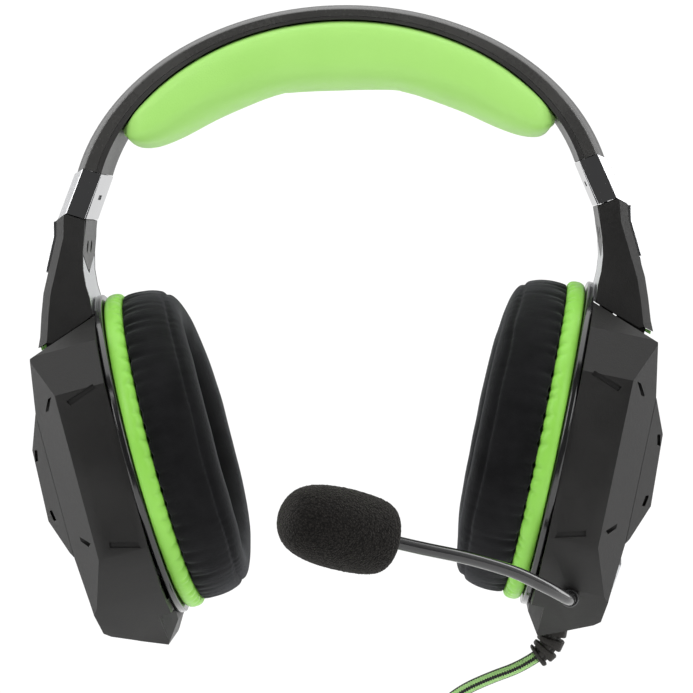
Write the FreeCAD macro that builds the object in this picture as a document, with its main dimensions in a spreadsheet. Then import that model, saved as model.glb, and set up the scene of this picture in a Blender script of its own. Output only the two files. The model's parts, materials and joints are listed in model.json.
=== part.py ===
import FreeCAD, Part
import Sketcher
import math
import os

# Over-ear gaming headset, millimetres, +Z up, the wearer's left on +X, the wearer's face on -Y.
# Origin: the middle of the head cushion's underside, where the headset rests on a head.
# Both sides share one set of functions; s = +1 is the wearer's left, s = -1 the right.

V = FreeCAD.Vector
doc = FreeCAD.newDocument("headset")

# ---------------------------------------------------------------- driving dimensions
CELLS = [
    ("band_half_width", 86.8, "headband outer ellipse, half width"),
    ("band_half_height", 66.8, "headband outer ellipse, half height"),
    ("band_centre_z", -40.5, "height of the ellipses' centre"),
    ("band_depth", 34.0, "headband front to back"),
    ("band_edge_width", 84.1, "front edge ellipse, half width"),
    ("band_edge_height", 64.8, "front edge ellipse, half height"),
    ("seam_half_width", 79.9, "inner shell outer ellipse, half width"),
    ("seam_half_height", 62.5, "inner shell outer ellipse, half height"),
    ("inner_half_width", 78.1, "inner face ellipse, half width"),
    ("inner_half_height", 61.5, "inner face ellipse, half height"),
    ("pad_depth", 38.0, "head cushion front to back"),
    ("slide_lean", 22.4, "slide direction from vertical, degrees"),
    ("slide_x", 86.4, "collar's lower seam, distance from the middle plane"),
    ("slide_z", -38.2, "collar's lower seam, height"),
    ("collar_length", 15.2, "chrome collar along the slide"),
    ("bar_wide", 18.0, "slider bar front to back"),
    ("bar_thick", 1.2, "slider bar thickness"),
    ("bar_slack", 0.08, "gap between bar and guide on each side"),
    ("slide_travel", 22.0, "size adjustment on each side"),
    ("cup_x", 63.0, "cup frame origin, distance from the middle plane"),
    ("cup_z", -115.0, "cup frame origin, height"),
    ("cup_tilt", 13.3, "cup lean, degrees"),
    ("cup_half_depth", 41.0, "housing half depth, front to back"),
    ("ring_half_tall", 52.0, "cushion ring, half height"),
    ("ring_half_deep", 44.0, "cushion ring, half depth"),
    ("ring_half_thick", 2.9, "cushion ring, half thickness"),
    ("velour_half_tall", 50.75, "ear cushion, half height"),
    ("velour_half_deep", 43.0, "ear cushion, half depth"),
    ("velour_face", 22.8, "ear cushion face from the ring's middle plane"),
    ("ear_half_tall", 33.0, "ear opening, half height"),
    ("ear_half_deep", 25.0, "ear opening, half depth"),
    ("driver_radius", 25.0, "driver frame radius"),
    ("pivot_out", 15.0, "tilt pin, outward from the cup frame origin"),
    ("pivot_up", 36.0, "tilt pin, upward from the cup frame origin"),
    ("pin_radius", 2.0, "tilt pin radius"),
    ("boom_radius", 2.0, "microphone boom radius"),
    ("foam_length", 35.0, "foam windscreen length"),
    ("foam_radius", 12.0, "foam windscreen radius"),
    ("cord_radius", 2.0, "braided cord radius"),
    ("coil_radius", 24.0, "cord coil, middle of its turns"),
    ("coil_section", 8.2, "cord coil, radius of the bundle"),
    ("plug_pin_radius", 1.75, "audio plug pin radius"),
    ("plug_pin_length", 14.0, "audio plug pin length"),
]
dims = doc.addObject("Spreadsheet::Sheet", "dims")
D = {}
for row, (alias, value, words) in enumerate(CELLS, start=1):
    dims.set("A%d" % row, alias)
    dims.set("B%d" % row, repr(value))
    dims.set("C%d" % row, words)
    dims.setAlias("B%d" % row, alias)
    D[alias] = value
doc.recompute()

PARTS = []          # (object, node name)


def side(s):
    return "left" if s > 0 else "right"


# ---------------------------------------------------------------- sketch and feature helpers
# A coordinate is a plain number, or (alias, factor, offset) bound to a cell of the sheet.
def number(c):
    if isinstance(c, tuple):
        return c[1] * D[c[0]] + c[2]
    return float(c)


def words_of(c):
    return "dims.%s * %r + %r" % (c[0], float(c[1]), float(c[2]))


def flip(c, s):
    if isinstance(c, tuple):
        return (c[0], s * c[1], s * c[2])
    return s * c


def origin_plane(body, role):
    for f in body.Origin.OriginFeatures:
        if f.Role == role:
            return f
    raise ValueError(role)


def new_body(label):
    b = doc.addObject("PartDesign::Body", label)
    b.Label = label
    PARTS.append((b, label))
    return b


def new_sketch(body, role, offset=0.0):
    sk = body.newObject("Sketcher::SketchObject", body.Name + "_sketch")
    sk.AttachmentSupport = (origin_plane(body, role), [""])
    sk.MapMode = "FlatFace"
    sk.AttachmentOffset = FreeCAD.Placement(V(0, 0, offset), FreeCAD.Rotation())
    return sk


def polygon(sk, points):
    n = len(points)
    g = sk.GeometryCount
    P = [V(number(p[0]), number(p[1]), 0) for p in points]
    sk.addGeometry([Part.LineSegment(P[i], P[(i + 1) % n]) for i in range(n)], False)
    cons, bound = [], []
    for i in range(n):
        cons.append(Sketcher.Constraint("Coincident", g + i, 2, g + (i + 1) % n, 1))
    for i in range(n):
        for axis, k in (("DistanceX", 0), ("DistanceY", 1)):
            if isinstance(points[i][k], tuple):
                bound.append((len(cons), words_of(points[i][k])))
            cons.append(Sketcher.Constraint(axis, -1, 1, g + i, 1, (P[i].x, P[i].y)[k]))
    ids = sk.addConstraint(cons)
    for k, e in bound:
        sk.setExpression("Constraints[%d]" % ids[k], e)


def circle(sk, cx, cy, radius):
    g = sk.addGeometry(Part.Circle(V(number(cx), number(cy), 0), V(0, 0, 1), number(radius)), False)
    ids = sk.addConstraint([
        Sketcher.Constraint("DistanceX", -1, 1, g, 3, number(cx)),
        Sketcher.Constraint("DistanceY", -1, 1, g, 3, number(cy)),
        Sketcher.Constraint("Radius", g, number(radius))])
    for k, c in enumerate((cx, cy, radius)):
        if isinstance(c, tuple):
            sk.setExpression("Constraints[%d]" % ids[k], words_of(c))


def ellipse(sk, half_x, half_y, cy=0.0):
    # the longer half axis first; the two diameters are construction lines with a length each
    hx, hy, c = number(half_x), number(half_y), V(0, number(cy), 0)
    if hx >= hy:
        e = Part.Ellipse(c + V(hx, 0, 0), c + V(0, hy, 0), c)
        order = (half_x, half_y)
    else:
        e = Part.Ellipse(c + V(0, hy, 0), c + V(-hx, 0, 0), c)
        order = (half_y, half_x)
    g = sk.addGeometry(e, False)
    sk.exposeInternalGeometry(g)
    cons = [Sketcher.Constraint("Distance", g + 1, 2 * number(order[0])),
            Sketcher.Constraint("Distance", g + 2, 2 * number(order[1])),
            Sketcher.Constraint("DistanceX", -1, 1, g, 3, 0.0),
            Sketcher.Constraint("DistanceY", -1, 1, g, 3, c.y),
            Sketcher.Constraint("Vertical" if hy > hx else "Horizontal", g + 1)]
    ids = sk.addConstraint(cons)
    for k in (0, 1):
        if isinstance(order[k], tuple):
            a, f, o = order[k]
            sk.setExpression("Constraints[%d]" % ids[k], words_of((a, 2 * f, 2 * o)))
    if isinstance(cy, tuple):
        sk.setExpression("Constraints[%d]" % ids[3], words_of(cy))


def solid_feature(kind, body, sk, length, mode="one", toward=1):
    f = body.newObject("PartDesign::" + kind, body.Name + "_" + kind.lower())
    f.Profile = sk
    f.Length = number(length)
    if isinstance(length, tuple):
        f.setExpression("Length", words_of(length))
    if mode == "both":
        f.SideType = "Symmetric"
    # a pad runs along its sketch's normal and a pocket against it
    elif (kind == "Pad") != (toward > 0):
        f.Reversed = True
    sk.Visibility = False
    return f


def pad(body, sk, length, mode="one", toward=1):
    return solid_feature("Pad", body, sk, length, mode, toward)


def pocket(body, sk, length, mode="one", toward=1):
    before = body.Tip.Shape.Volume if body.Tip and not body.Tip.Shape.isNull() else None
    f = solid_feature("Pocket", body, sk, length, mode, toward)
    doc.recompute()
    if before is not None and f.Shape.Volume > before - 1e-4:
        raise RuntimeError("a pocket of %s cuts nothing" % body.Label)
    return f


def keep_inside(body, role, points, size=260.0, span=400.0):
    """Cut away everything outside a closed outline."""
    sk = new_sketch(body, role)
    polygon(sk, [(-size, -size), (size, -size), (size, size), (-size, size)])
    polygon(sk, points)
    return pocket(body, sk, span, "both")


def dress(kind, body, pick, size):
    """Fillet or chamfer the picked edges, each try with a smaller size; a refusal leaves them sharp."""
    doc.recompute()
    base = body.Tip
    names = []
    for i, e in enumerate(base.Shape.Edges, start=1):
        if pick is None or pick(e):
            names.append("Edge%d" % i)
    if not names:
        raise RuntimeError("no edge picked on " + body.Label)
    for k in (1.0, 0.7, 0.45):
        f = body.newObject("PartDesign::" + kind, body.Name + "_" + kind.lower())
        f.Base = (base, names)
        if kind == "Fillet":
            f.Radius = size * k
        else:
            f.Size = size * k
        doc.recompute()
        ok = "Invalid" not in f.State and "Error" not in f.State
        try:
            ok = ok and f.Shape.isValid() and f.Shape.Volume > 0 and len(f.Shape.Solids) == 1
        except Exception:
            ok = False
        if ok:
            return f
        body.removeObject(f)
        doc.removeObject(f.Name)
        body.Tip = base
        doc.recompute()
    print("left sharp:", kind, body.Label, size)
    return None


def mid(e):
    return e.valueAt((e.FirstParameter + e.LastParameter) / 2.0)


# ---------------------------------------------------------------- frames
SL = math.radians(D["slide_lean"])
CT = math.radians(D["cup_tilt"])


def slide_point(n, up):
    """Slide frame (n outward, up along the slide) to X, Z on the left side."""
    return (D["slide_x"] + n * math.cos(SL) - up * math.sin(SL),
            D["slide_z"] + n * math.sin(SL) + up * math.cos(SL))


def cup_point(u, v):
    """Cup frame (u outward, v upward) to X, Z on the left side."""
    return (D["cup_x"] + u * math.cos(CT) + v * math.sin(CT),
            D["cup_z"] - u * math.sin(CT) + v * math.cos(CT))


def in_slide_frame(body, s):
    body.Placement = FreeCAD.Placement(V(s * D["slide_x"], 0, D["slide_z"]),
                                       FreeCAD.Rotation(V(0, 1, 0), -s * D["slide_lean"]))
    body.setExpression("Placement.Base.x", words_of(("slide_x", s, 0)))
    body.setExpression("Placement.Base.z", words_of(("slide_z", 1, 0)))


def in_cup_frame(body, s):
    body.Placement = FreeCAD.Placement(V(s * D["cup_x"], 0, D["cup_z"]),
                                       FreeCAD.Rotation(V(0, 1, 0), s * D["cup_tilt"]))
    body.setExpression("Placement.Base.x", words_of(("cup_x", s, 0)))
    body.setExpression("Placement.Base.z", words_of(("cup_z", 1, 0)))


def mirrored(points, s):
    return [(flip(p[0], s), p[1]) for p in points]


# ---------------------------------------------------------------- headband
CZ = ("band_centre_z", 1, 0)
END = [slide_point(-40, 18.8), slide_point(-5.2, 15.75), slide_point(1.0, 15.25),
       slide_point(3.8, 12.4), slide_point(12.0, 4.0)]


def band_outline(grow=0.0):
    right = [(x, z) for x, z in END]
    right = [(x - grow * math.sin(SL), z + grow * math.cos(SL)) for x, z in right]
    right.append((130, right[-1][1]))
    right.append((130, 90))
    left = [(-x, z) for x, z in reversed(right)]
    return right + left


def band_prism(label, outer, inner, depth, grow=0.0):
    b = new_body(label)
    sk = new_sketch(b, "XZ_Plane")
    ellipse(sk, outer[0], outer[1], CZ)
    ellipse(sk, inner[0], inner[1], CZ)
    pad(b, sk, depth, "both")
    doc.recompute()
    keep_inside(b, "XZ_Plane", band_outline(grow))
    return b


# outer shell: a channel with a crowned back and bevelled edges, open towards the head
b = new_body("headband_outer_shell")
loft = b.newObject("PartDesign::AdditiveLoft", "band_loft")
sections = []
for y, edge in ((-17.0, 0), (-12.6, 1), (-5.0, 2), (5.0, 2), (12.6, 1), (17.0, 0)):
    sk = new_sketch(b, "XZ_Plane", -y)
    if edge == 0:
        ellipse(sk, ("band_edge_width", 1, 0), ("band_edge_height", 1, 0), CZ)
    elif edge == 1:
        ellipse(sk, ("band_half_width", 1, -0.5), ("band_half_height", 1, -0.5), CZ)
    else:
        ellipse(sk, ("band_half_width", 1, 0), ("band_half_height", 1, 0), CZ)
    sk.Visibility = False
    sections.append(sk)
loft.Profile = sections[0]
loft.Sections = sections[1:]
loft.Ruled = True
doc.recompute()
sk = new_sketch(b, "XZ_Plane")
ellipse(sk, ("seam_half_width", 1, 0.1), ("seam_half_height", 1, 0.1), CZ)
pocket(b, sk, 60.0, "both")
sk = new_sketch(b, "XZ_Plane")
ellipse(sk, ("band_half_width", 1, -2.0), ("band_half_height", 1, -1.6), CZ)
pocket(b, sk, 26.0, "both")
keep_inside(b, "XZ_Plane", band_outline())
dress("Fillet", b, lambda e: abs(abs(mid(e).y) - 17) < 0.1 and e.Length > 60
      and math.hypot(mid(e).x / D["band_edge_width"],
                     (mid(e).z - D["band_centre_z"]) / D["band_edge_height"]) > 0.985, 0.5)

# inner shell: the plate that the cushion sits on
b = band_prism("headband_inner_shell", (("seam_half_width", 1, 0), ("seam_half_height", 1, 0)),
               (("inner_half_width", 1, 0), ("inner_half_height", 1, 0)), ("band_depth", 1, 0))

# spring band: a steel strip in the channel, ending above the slider bars
b = new_body("headband_spring_band")
sk = new_sketch(b, "XZ_Plane")
ellipse(sk, ("seam_half_width", 1, 1.3), ("seam_half_height", 1, 1.2), CZ)
ellipse(sk, ("seam_half_width", 1, 0.3), ("seam_half_height", 1, 0.2), CZ)
pad(b, sk, 18.0, "both")
doc.recompute()
keep_inside(b, "XZ_Plane", [(-130, -8.5), (130, -8.5), (130, 90), (-130, 90)])

# crossover wire beside the strip, from one cup's side to the other
b = new_body("crossover_wire")
sk = new_sketch(b, "XZ_Plane", -11.6)
ellipse(sk, ("seam_half_width", 1, 1.8), ("seam_half_height", 1, 1.5), CZ)
ellipse(sk, ("seam_half_width", 1, 0.4), ("seam_half_height", 1, 0.3), CZ)
pad(b, sk, 1.2, "one")
doc.recompute()
keep_inside(b, "XZ_Plane", [(-130, -8.5), (130, -8.5), (130, 90), (-130, 90)])

# head cushion: plain soft solid, crowned lobes near the ends
b = new_body("headband_cushion")
LOW = [(0, 0.0), (8, -0.2), (17.5, -1.2), (26, -3.2), (35, -6.5), (43, -10.2), (51, -14.0),
       (57, -16.3), (62, -17.2), (66, -16.4), (68.6, -13.6)]
TOP = [(68.4, -11.2)]
for k in range(13):
    x = 66.0 - 66.0 * k / 12.0
    TOP.append((x, D["band_centre_z"] + (D["inner_half_height"] - 0.15)
                * math.sqrt(1 - (x / (D["inner_half_width"] - 0.15)) ** 2)))
outline = LOW + TOP
outline = outline + [(-x, z) for x, z in reversed(outline) if x > 1e-6]
sk = new_sketch(b, "XZ_Plane")
polygon(sk, outline)
pad(b, sk, ("pad_depth", 1, 0), "both")
dress("Chamfer", b, lambda e: abs(abs(mid(e).y) - 19) < 0.1 and mid(e).z < -0.05 - 0.0045 * mid(e).x ** 2
      and math.hypot(mid(e).x / D["inner_half_width"],
                     (mid(e).z - D["band_centre_z"]) / D["inner_half_height"]) < 0.93, 3.0)

# screws that join the two shells from below, under the cushion
def screw_solid(head_r, head_h, shank_r, length):
    head = Part.makeCylinder(head_r, head_h)
    shank = Part.makeCylinder(shank_r, length, V(0, 0, head_h))
    slot = Part.makeBox(head_r * 2, 0.5, 0.5, V(-head_r, -0.25, 0))
    return head.cut(slot).fuse(shank)


def group_of(label, solids, placement=None):
    f = doc.addObject("Part::Feature", label)
    f.Label = label
    f.Shape = Part.makeCompound(solids) if len(solids) > 1 else solids[0]
    f.Placement = placement or FreeCAD.Placement()
    PARTS.append((f, label))
    return f


def aim(shape, at, direction):
    """A shape built along +Z, moved so that it starts at a point and runs along a direction."""
    c = shape.copy()
    c.Placement = FreeCAD.Placement(at, FreeCAD.Rotation(V(0, 0, 1), direction))
    return c


screws, holes_in, holes_out = [], [], []
for x in (-44.0, -16.0, 16.0, 44.0):
    for y in (-14.6, 14.6):
        z = D["band_centre_z"] + D["inner_half_height"] * math.sqrt(1 - (x / D["inner_half_width"]) ** 2)
        normal = V(x / D["inner_half_width"] ** 2, 0, (z - D["band_centre_z"]) / D["inner_half_height"] ** 2)
        normal.normalize()
        at = V(x, y, z) + normal * 0.05
        screws.append(aim(screw_solid(1.6, 0.55, 0.8, 2.4), at, normal))
        holes_in.append(aim(Part.makeCylinder(1.62, 4.0), at - normal * 3.4, normal))
        holes_in.append(aim(Part.makeCylinder(0.82, 6.0), at - normal * 1.0, normal))
        holes_out.append(aim(Part.makeCylinder(0.82, 2.6), at + normal * 0.4, normal))
group_of("headband_screws", screws)


def drill(label, tools):
    """Replace a finished body by a cut of the same body, so that the holes stay in its tree."""
    for k, (obj, name) in enumerate(PARTS):
        if name == label:
            tool = doc.addObject("Part::Feature", label + "_holes")
            tool.Shape = Part.makeCompound(tools)
            obj.Label = label + "_blank"
            cut = doc.addObject("Part::Cut", label + "_cut")
            cut.Base = obj
            cut.Tool = tool
            cut.Label = label
            PARTS[k] = (cut, label)
            return cut
    raise ValueError(label)


drill("headband_inner_shell", holes_in)
drill("headband_outer_shell", holes_out)


# ---------------------------------------------------------------- collars, guides and sliders
def slide_group(s):
    name = side(s)
    # chrome collar, fixed to the band's end, its rim stepping down over the bevelled outer edge
    b = new_body(name + "_collar")
    sk = new_sketch(b, "XZ_Plane")
    polygon(sk, mirrored([(-5.6, 0.55), (1.0, 0.0), (3.4, -2.9), (3.7, 12.2), (1.0, 15.05),
                          (-5.3, 15.55)], s))
    pad(b, sk, ("band_depth", 1, 0), "both")
    doc.recompute()
    keep_inside(b, "XY_Plane", mirrored([(-6.5, -15.6), (-5.0, -17.1), (1.0, -17.1), (3.3, -13.2),
                                         (3.9, -5), (3.9, 5), (3.3, 13.2), (1.0, 17.1), (-5.0, 17.1),
                                         (-6.5, 15.6)], s))
    dress("Fillet", b, lambda e: e.Length > 11 and abs(mid(e).y) > 4 and abs(mid(e).y) < 17.2
          and 3 < mid(e).z < 12, 0.45)
    sk = new_sketch(b, "XY_Plane")
    polygon(sk, mirrored([(-4.2, -13), (1.4, -13), (1.4, 13), (-4.2, 13)], s))
    pocket(b, sk, 80.0, "both")
    # short dark slot in the collar's inner face
    sk = new_sketch(b, "YZ_Plane", -6.6 * s)
    polygon(sk, [(-4.0, 7.2), (4.0, 7.2), (4.0, 8.8), (-4.0, 8.8)])
    pocket(b, sk, 3.4, "one", s)
    in_slide_frame(b, s)

    # plastic guide block inside the collar, with the slot that the bar runs in
    g = ("bar_slack", 1, 0)
    b = new_body(name + "_slider_guide")
    sk = new_sketch(b, "XY_Plane", 1.2)
    polygon(sk, mirrored([(-4.15, -12.9), (1.35, -12.9), (1.35, 12.9), (-4.15, 12.9)], s))
    pad(b, sk, 12.2)
    sk = new_sketch(b, "XY_Plane")
    polygon(sk, mirrored([(("bar_slack", -1, -3.0), ("bar_wide", -0.5, -0.08)),
                          (("bar_slack", 1, -1.8), ("bar_wide", -0.5, -0.08)),
                          (("bar_slack", 1, -1.8), ("bar_wide", 0.5, 0.08)),
                          (("bar_slack", -1, -3.0), ("bar_wide", 0.5, 0.08))], s))
    pocket(b, sk, 60.0, "both")
    sk = new_sketch(b, "YZ_Plane", -1.9 * s)
    circle(sk, 0.0, 7.0, 1.35)
    pocket(b, sk, 5.0, "one", s)
    in_slide_frame(b, s)

    # detent plunger in the guide's cross bore
    b = new_body(name + "_detent_plunger")
    sk = new_sketch(b, "YZ_Plane", -1.3 * s)
    circle(sk, 0.0, 7.0, 1.3)
    pad(b, sk, 2.6, "one", s)
    dress("Chamfer", b, lambda e: e.Length > 5 and abs(mid(e).x * s + 1.3) < 0.05, 0.5)
    in_slide_frame(b, s)

    # steel slider bar with a row of detent holes
    b = new_body(name + "_slider_bar")
    sk = new_sketch(b, "YZ_Plane", -3.0 * s)
    w = D["bar_wide"] / 2.0
    polygon(sk, [(("bar_wide", -0.5, 0), -11.0), (("bar_wide", -0.5, 3), -13.0),
                 (("bar_wide", 0.5, -3), -13.0), (("bar_wide", 0.5, 0), -11.0),
                 (("bar_wide", 0.5, 0), 26.0), (("bar_wide", 0.5, -2), 28.0),
                 (("bar_wide", -0.5, 2), 28.0), (("bar_wide", -0.5, 0), 26.0)])
    pad(b, sk, ("bar_thick", 1, 0), "one", s)
    sk = new_sketch(b, "YZ_Plane", -3.5 * s)
    circle(sk, 0.0, 7.0, 0.9)
    hole = pocket(b, sk, 4.0, "one", s)
    row = b.newObject("PartDesign::LinearPattern", name + "_detents")
    row.Originals = [hole]
    row.Direction = (sk, ["V_Axis"])
    row.Length = 19.25
    row.Occurrences = 8
    b.Tip = row
    doc.recompute()
    sk = new_sketch(b, "YZ_Plane", -3.5 * s)
    circle(sk, -5.0, -8.0, 1.05)
    circle(sk, 5.0, -8.0, 1.05)
    pocket(b, sk, 4.0, "one", s)
    in_slide_frame(b, s)


for s in (1, -1):
    slide_group(s)

# ---------------------------------------------------------------- arms
ARM_OUT = [slide_point(3.4, -3.2), (91.0, -45.0), (92.6, -51.0), (94.2, -57.2), (95.7, -63.0),
           (96.6, -70.0), (97.2, -77.0), cup_point(26.0, 41.6), cup_point(22.6, 42.6),
           cup_point(21.3, 41.92), cup_point(15.0, 44.0)]
ARM_IN = [cup_point(6.3, 47.4), (80.7, -65.0), (81.8, -61.0), (82.5, -56.0), (82.4, -50.3),
          (81.8, -45.2), slide_point(-5.6, 0.25)]
PIVOT = cup_point(D["pivot_out"], D["pivot_up"])


def arm_group(s):
    name = side(s)
    # outer shell: its lower end is a neck that the tilt pin holds inside the cup
    b = new_body(name + "_arm_shell")
    inset = [(x + 1.7, z) for x, z in ARM_IN]
    inset[0] = cup_point(8.0, 46.5)
    inset[-1] = slide_point(-4.0, 0.12)
    outline = ARM_OUT + [cup_point(8.0, 46.5)] + ARM_IN[:-1] + [slide_point(-5.3, 0.0), slide_point(1.0, -0.3)]
    sk = new_sketch(b, "XZ_Plane")
    polygon(sk, mirrored(outline, s))
    pad(b, sk, ("band_depth", 1, 0), "both")
    dress("Chamfer", b, lambda e: abs(abs(mid(e).y) - 17) < 0.1 and e.Length > 3
          and s * mid(e).x > 89.5 and s * mid(e).x - 0.12 * (-70 - mid(e).z) > 88.0
          and mid(e).z < -41.5 and mid(e).z > -79.4
          and not (s * mid(e).x < cup_point(25.5, 41.0)[0] and mid(e).z < -75.5), 2.6)
    dress("Fillet", b, lambda e: abs(mid(e).y) > 13.5 and e.Length > 3 and s * mid(e).x > 86
          and -79 < mid(e).z < -42.5, 0.5)
    # seat for the inner cover and the trim, between two cheeks
    sk = new_sketch(b, "XZ_Plane")
    away = [(x - 2.5, z) for x, z in ARM_IN]
    away[0] = cup_point(3.0, 45.2)
    away[-1] = slide_point(-8.0, 1.6)
    seat = [cup_point(8.3, 45.2)] + inset + [slide_point(-4.0, 1.6)]
    polygon(sk, mirrored(seat + list(reversed(away)), s))
    pocket(b, sk, 31.0, "both")
    # neck
    sk = new_sketch(b, "XZ_Plane")
    polygon(sk, mirrored([cup_point(9.0, 50.0), cup_point(9.0, 29.0), cup_point(11.0, 27.0),
                          cup_point(21.5, 27.0), cup_point(23.4, 29.0), cup_point(23.4, 45.0)], s))
    pad(b, sk, 26.0, "both")
    # hollow for the wires, closed by the inner cover
    sk = new_sketch(b, "XZ_Plane")
    polygon(sk, mirrored([(80.0, -53.5), (90.4, -53.5), (92.4, -60.5), (93.4, -66.0), (94.2, -73.5),
                          (86.0, -76.5), cup_point(9.5, 49.5), (80.0, -69.5)], s))
    pocket(b, sk, 29.0, "both")
    # pin bore through the neck
    sk = new_sketch(b, "XZ_Plane")
    circle(sk, s * PIVOT[0], PIVOT[1], ("pin_radius", 1, 0))
    pocket(b, sk, 60.0, "both")
    # wire hole down the neck
    sk = new_sketch(b, "XZ_Plane")
    polygon(sk, mirrored([cup_point(17.9, 52.0), cup_point(17.9, 26.0), cup_point(20.5, 26.0),
                          cup_point(20.5, 52.0)], s))
    pocket(b, sk, 6.0, "both")

    # inner cover, with a pointed tab at its upper end
    b = new_body(name + "_arm_inner_cover")
    sk = new_sketch(b, "XZ_Plane")
    upper = ARM_IN[3:]
    shift = [(x + 1.62, z) for x, z in upper]
    shift[-1] = slide_point(-4.05, 0.12)
    polygon(sk, mirrored(upper + list(reversed(shift)), s))
    pad(b, sk, 30.8, "both")
    doc.recompute()
    keep_inside(b, "YZ_Plane", [(-17, -30), (17, -30), (17, -50.5), (0, -57.0), (-17, -50.5)])

    # silver inner trim strip, from the tab down to the cup
    b = new_body(name + "_arm_inner_trim")
    sk = new_sketch(b, "XZ_Plane")
    lower = ARM_IN[:5]
    shift = [(x + 1.62, z) for x, z in lower]
    shift[0] = cup_point(7.92, 46.9)
    polygon(sk, mirrored(lower + list(reversed(shift)), s))
    pad(b, sk, 30.8, "both")
    doc.recompute()
    keep_inside(b, "YZ_Plane", [(-17, -90), (17, -90), (17, -50.9), (0, -57.4), (-17, -50.9)])

    # thin chrome strip on the outer face, with a stepped lower end
    b = new_body(name + "_arm_outer_trim")
    outer = [slide_point(3.45, -3.3), (91.05, -45.0), (92.65, -51.0), (94.25, -57.2), (94.75, -59.2)]
    proud = [slide_point(4.4, -3.9), (92.0, -45.0), (93.6, -51.0), (94.6, -55.0), (95.35, -59.0)]
    sk = new_sketch(b, "XZ_Plane")
    polygon(sk, mirrored(outer + list(reversed(proud)), s))
    pad(b, sk, 27.0, "both")
    doc.recompute()
    keep_inside(b, "YZ_Plane", [(-13.5, -30), (13.5, -30), (13.5, -56.5), (6, -56.5), (6, -59.4),
                                (-6, -59.4), (-6, -56.5), (-13.5, -56.5)])

    # green accent around the neck, seen as a thin line between arm and cup
    b = new_body(name + "_arm_accent")
    sk = new_sketch(b, "XZ_Plane")
    polygon(sk, mirrored([cup_point(23.5, 42.05), cup_point(25.4, 41.65), cup_point(25.4, 40.55),
                          cup_point(23.5, 41.25)], s))
    pad(b, sk, 25.0, "both")

    # screws that hold the slider bar in the arm
    tools = []
    solids = []
    for y in (-5.0, 5.0):
        at = slide_point(-4.6, -8.0)
        direction = V(s * math.cos(SL), 0, math.sin(SL))
        p = V(s * at[0], y, at[1])
        solids.append(aim(screw_solid(1.9, 1.35, 1.0, 4.2), p, direction))
        tools.append(aim(Part.makeCylinder(2.0, 5.6), p - direction * 4.0, direction))
        tools.append(aim(Part.makeCylinder(1.0, 8.0), p, direction))
    group_of(name + "_arm_screws", solids)
    # the slot that the slider bar's end sits in
    x0, z0 = slide_point(-3.0, -13.0)
    slot = Part.makeBox(1.2, D["bar_wide"], 16.0, V(-3.0, -D["bar_wide"] / 2.0, -13.0))
    if s < 0:
        slot = slot.mirror(V(0, 0, 0), V(1, 0, 0))
    slot.Placement = FreeCAD.Placement(V(s * D["slide_x"], 0, D["slide_z"]),
                                       FreeCAD.Rotation(V(0, 1, 0), -s * D["slide_lean"]))
    drill(name + "_arm_shell", tools + [slot])
    drill(name + "_arm_inner_cover", tools)

    # tilt pin
    b = new_body(name + "_tilt_pin")
    sk = new_sketch(b, "XZ_Plane")
    circle(sk, 0.0, 0.0, ("pin_radius", 1, 0))
    pad(b, sk, 34.4, "both")
    dress("Chamfer", b, lambda e: abs(abs(mid(e).y) - 17.2) < 0.05 and e.Length > 5, 0.3)
    b.Placement = FreeCAD.Placement(V(s * PIVOT[0], 0, PIVOT[1]), FreeCAD.Rotation())


for s in (1, -1):
    arm_group(s)

# ---------------------------------------------------------------- cups
HALF = ("cup_half_depth", 1, 0)
HALF_N = ("cup_half_depth", -1, 0)
SIDE_OUTLINE = [(18, 47.2), (33.5, 39.5), (HALF, 26), (HALF, -27), (34.5, -42), (20.5, -56), (17, -61),
                (-17, -61), (-20.5, -56), (-34.5, -42), (HALF_N, -27), (HALF_N, 26), (-33.5, 39.5),
                (-18, 47.2)]
PROFILE = [(5.4, 47.0), (8.0, 46.0), (26.8, 39.0), (30.0, 22.0), (30.0, -25.0), (28.7, -40.3),
           (28.0, -51.0), (26.1, -52.7), (17.5, -57.0), (9.9, -60.4), (5.6, -54.0), (5.5, -50.0)]
PLAN = [(0, HALF_N), (21.3, HALF_N), (36.3, -23.0), (42.0, -16.0), (42.0, 16.0), (36.3, 23.0),
        (21.3, HALF), (0, HALF)]
INNER = [(17, 44.0), (31.5, 37.5), (38.6, 25), (38.6, -26), (32.3, -40.5), (27.5, -45.5), (-27.5, -45.5),
         (-32.3, -40.5), (-38.6, -26), (-38.6, 25), (-31.5, 37.5), (-17, 44.0)]
BOSSES = [(27.5, 29.0), (-27.5, 29.0), (26.5, -34.5), (-26.5, -34.5)]
ROOT_U, ROOT_V = 16.3, -44.6          # microphone boom pivot in the cup frame


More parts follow.
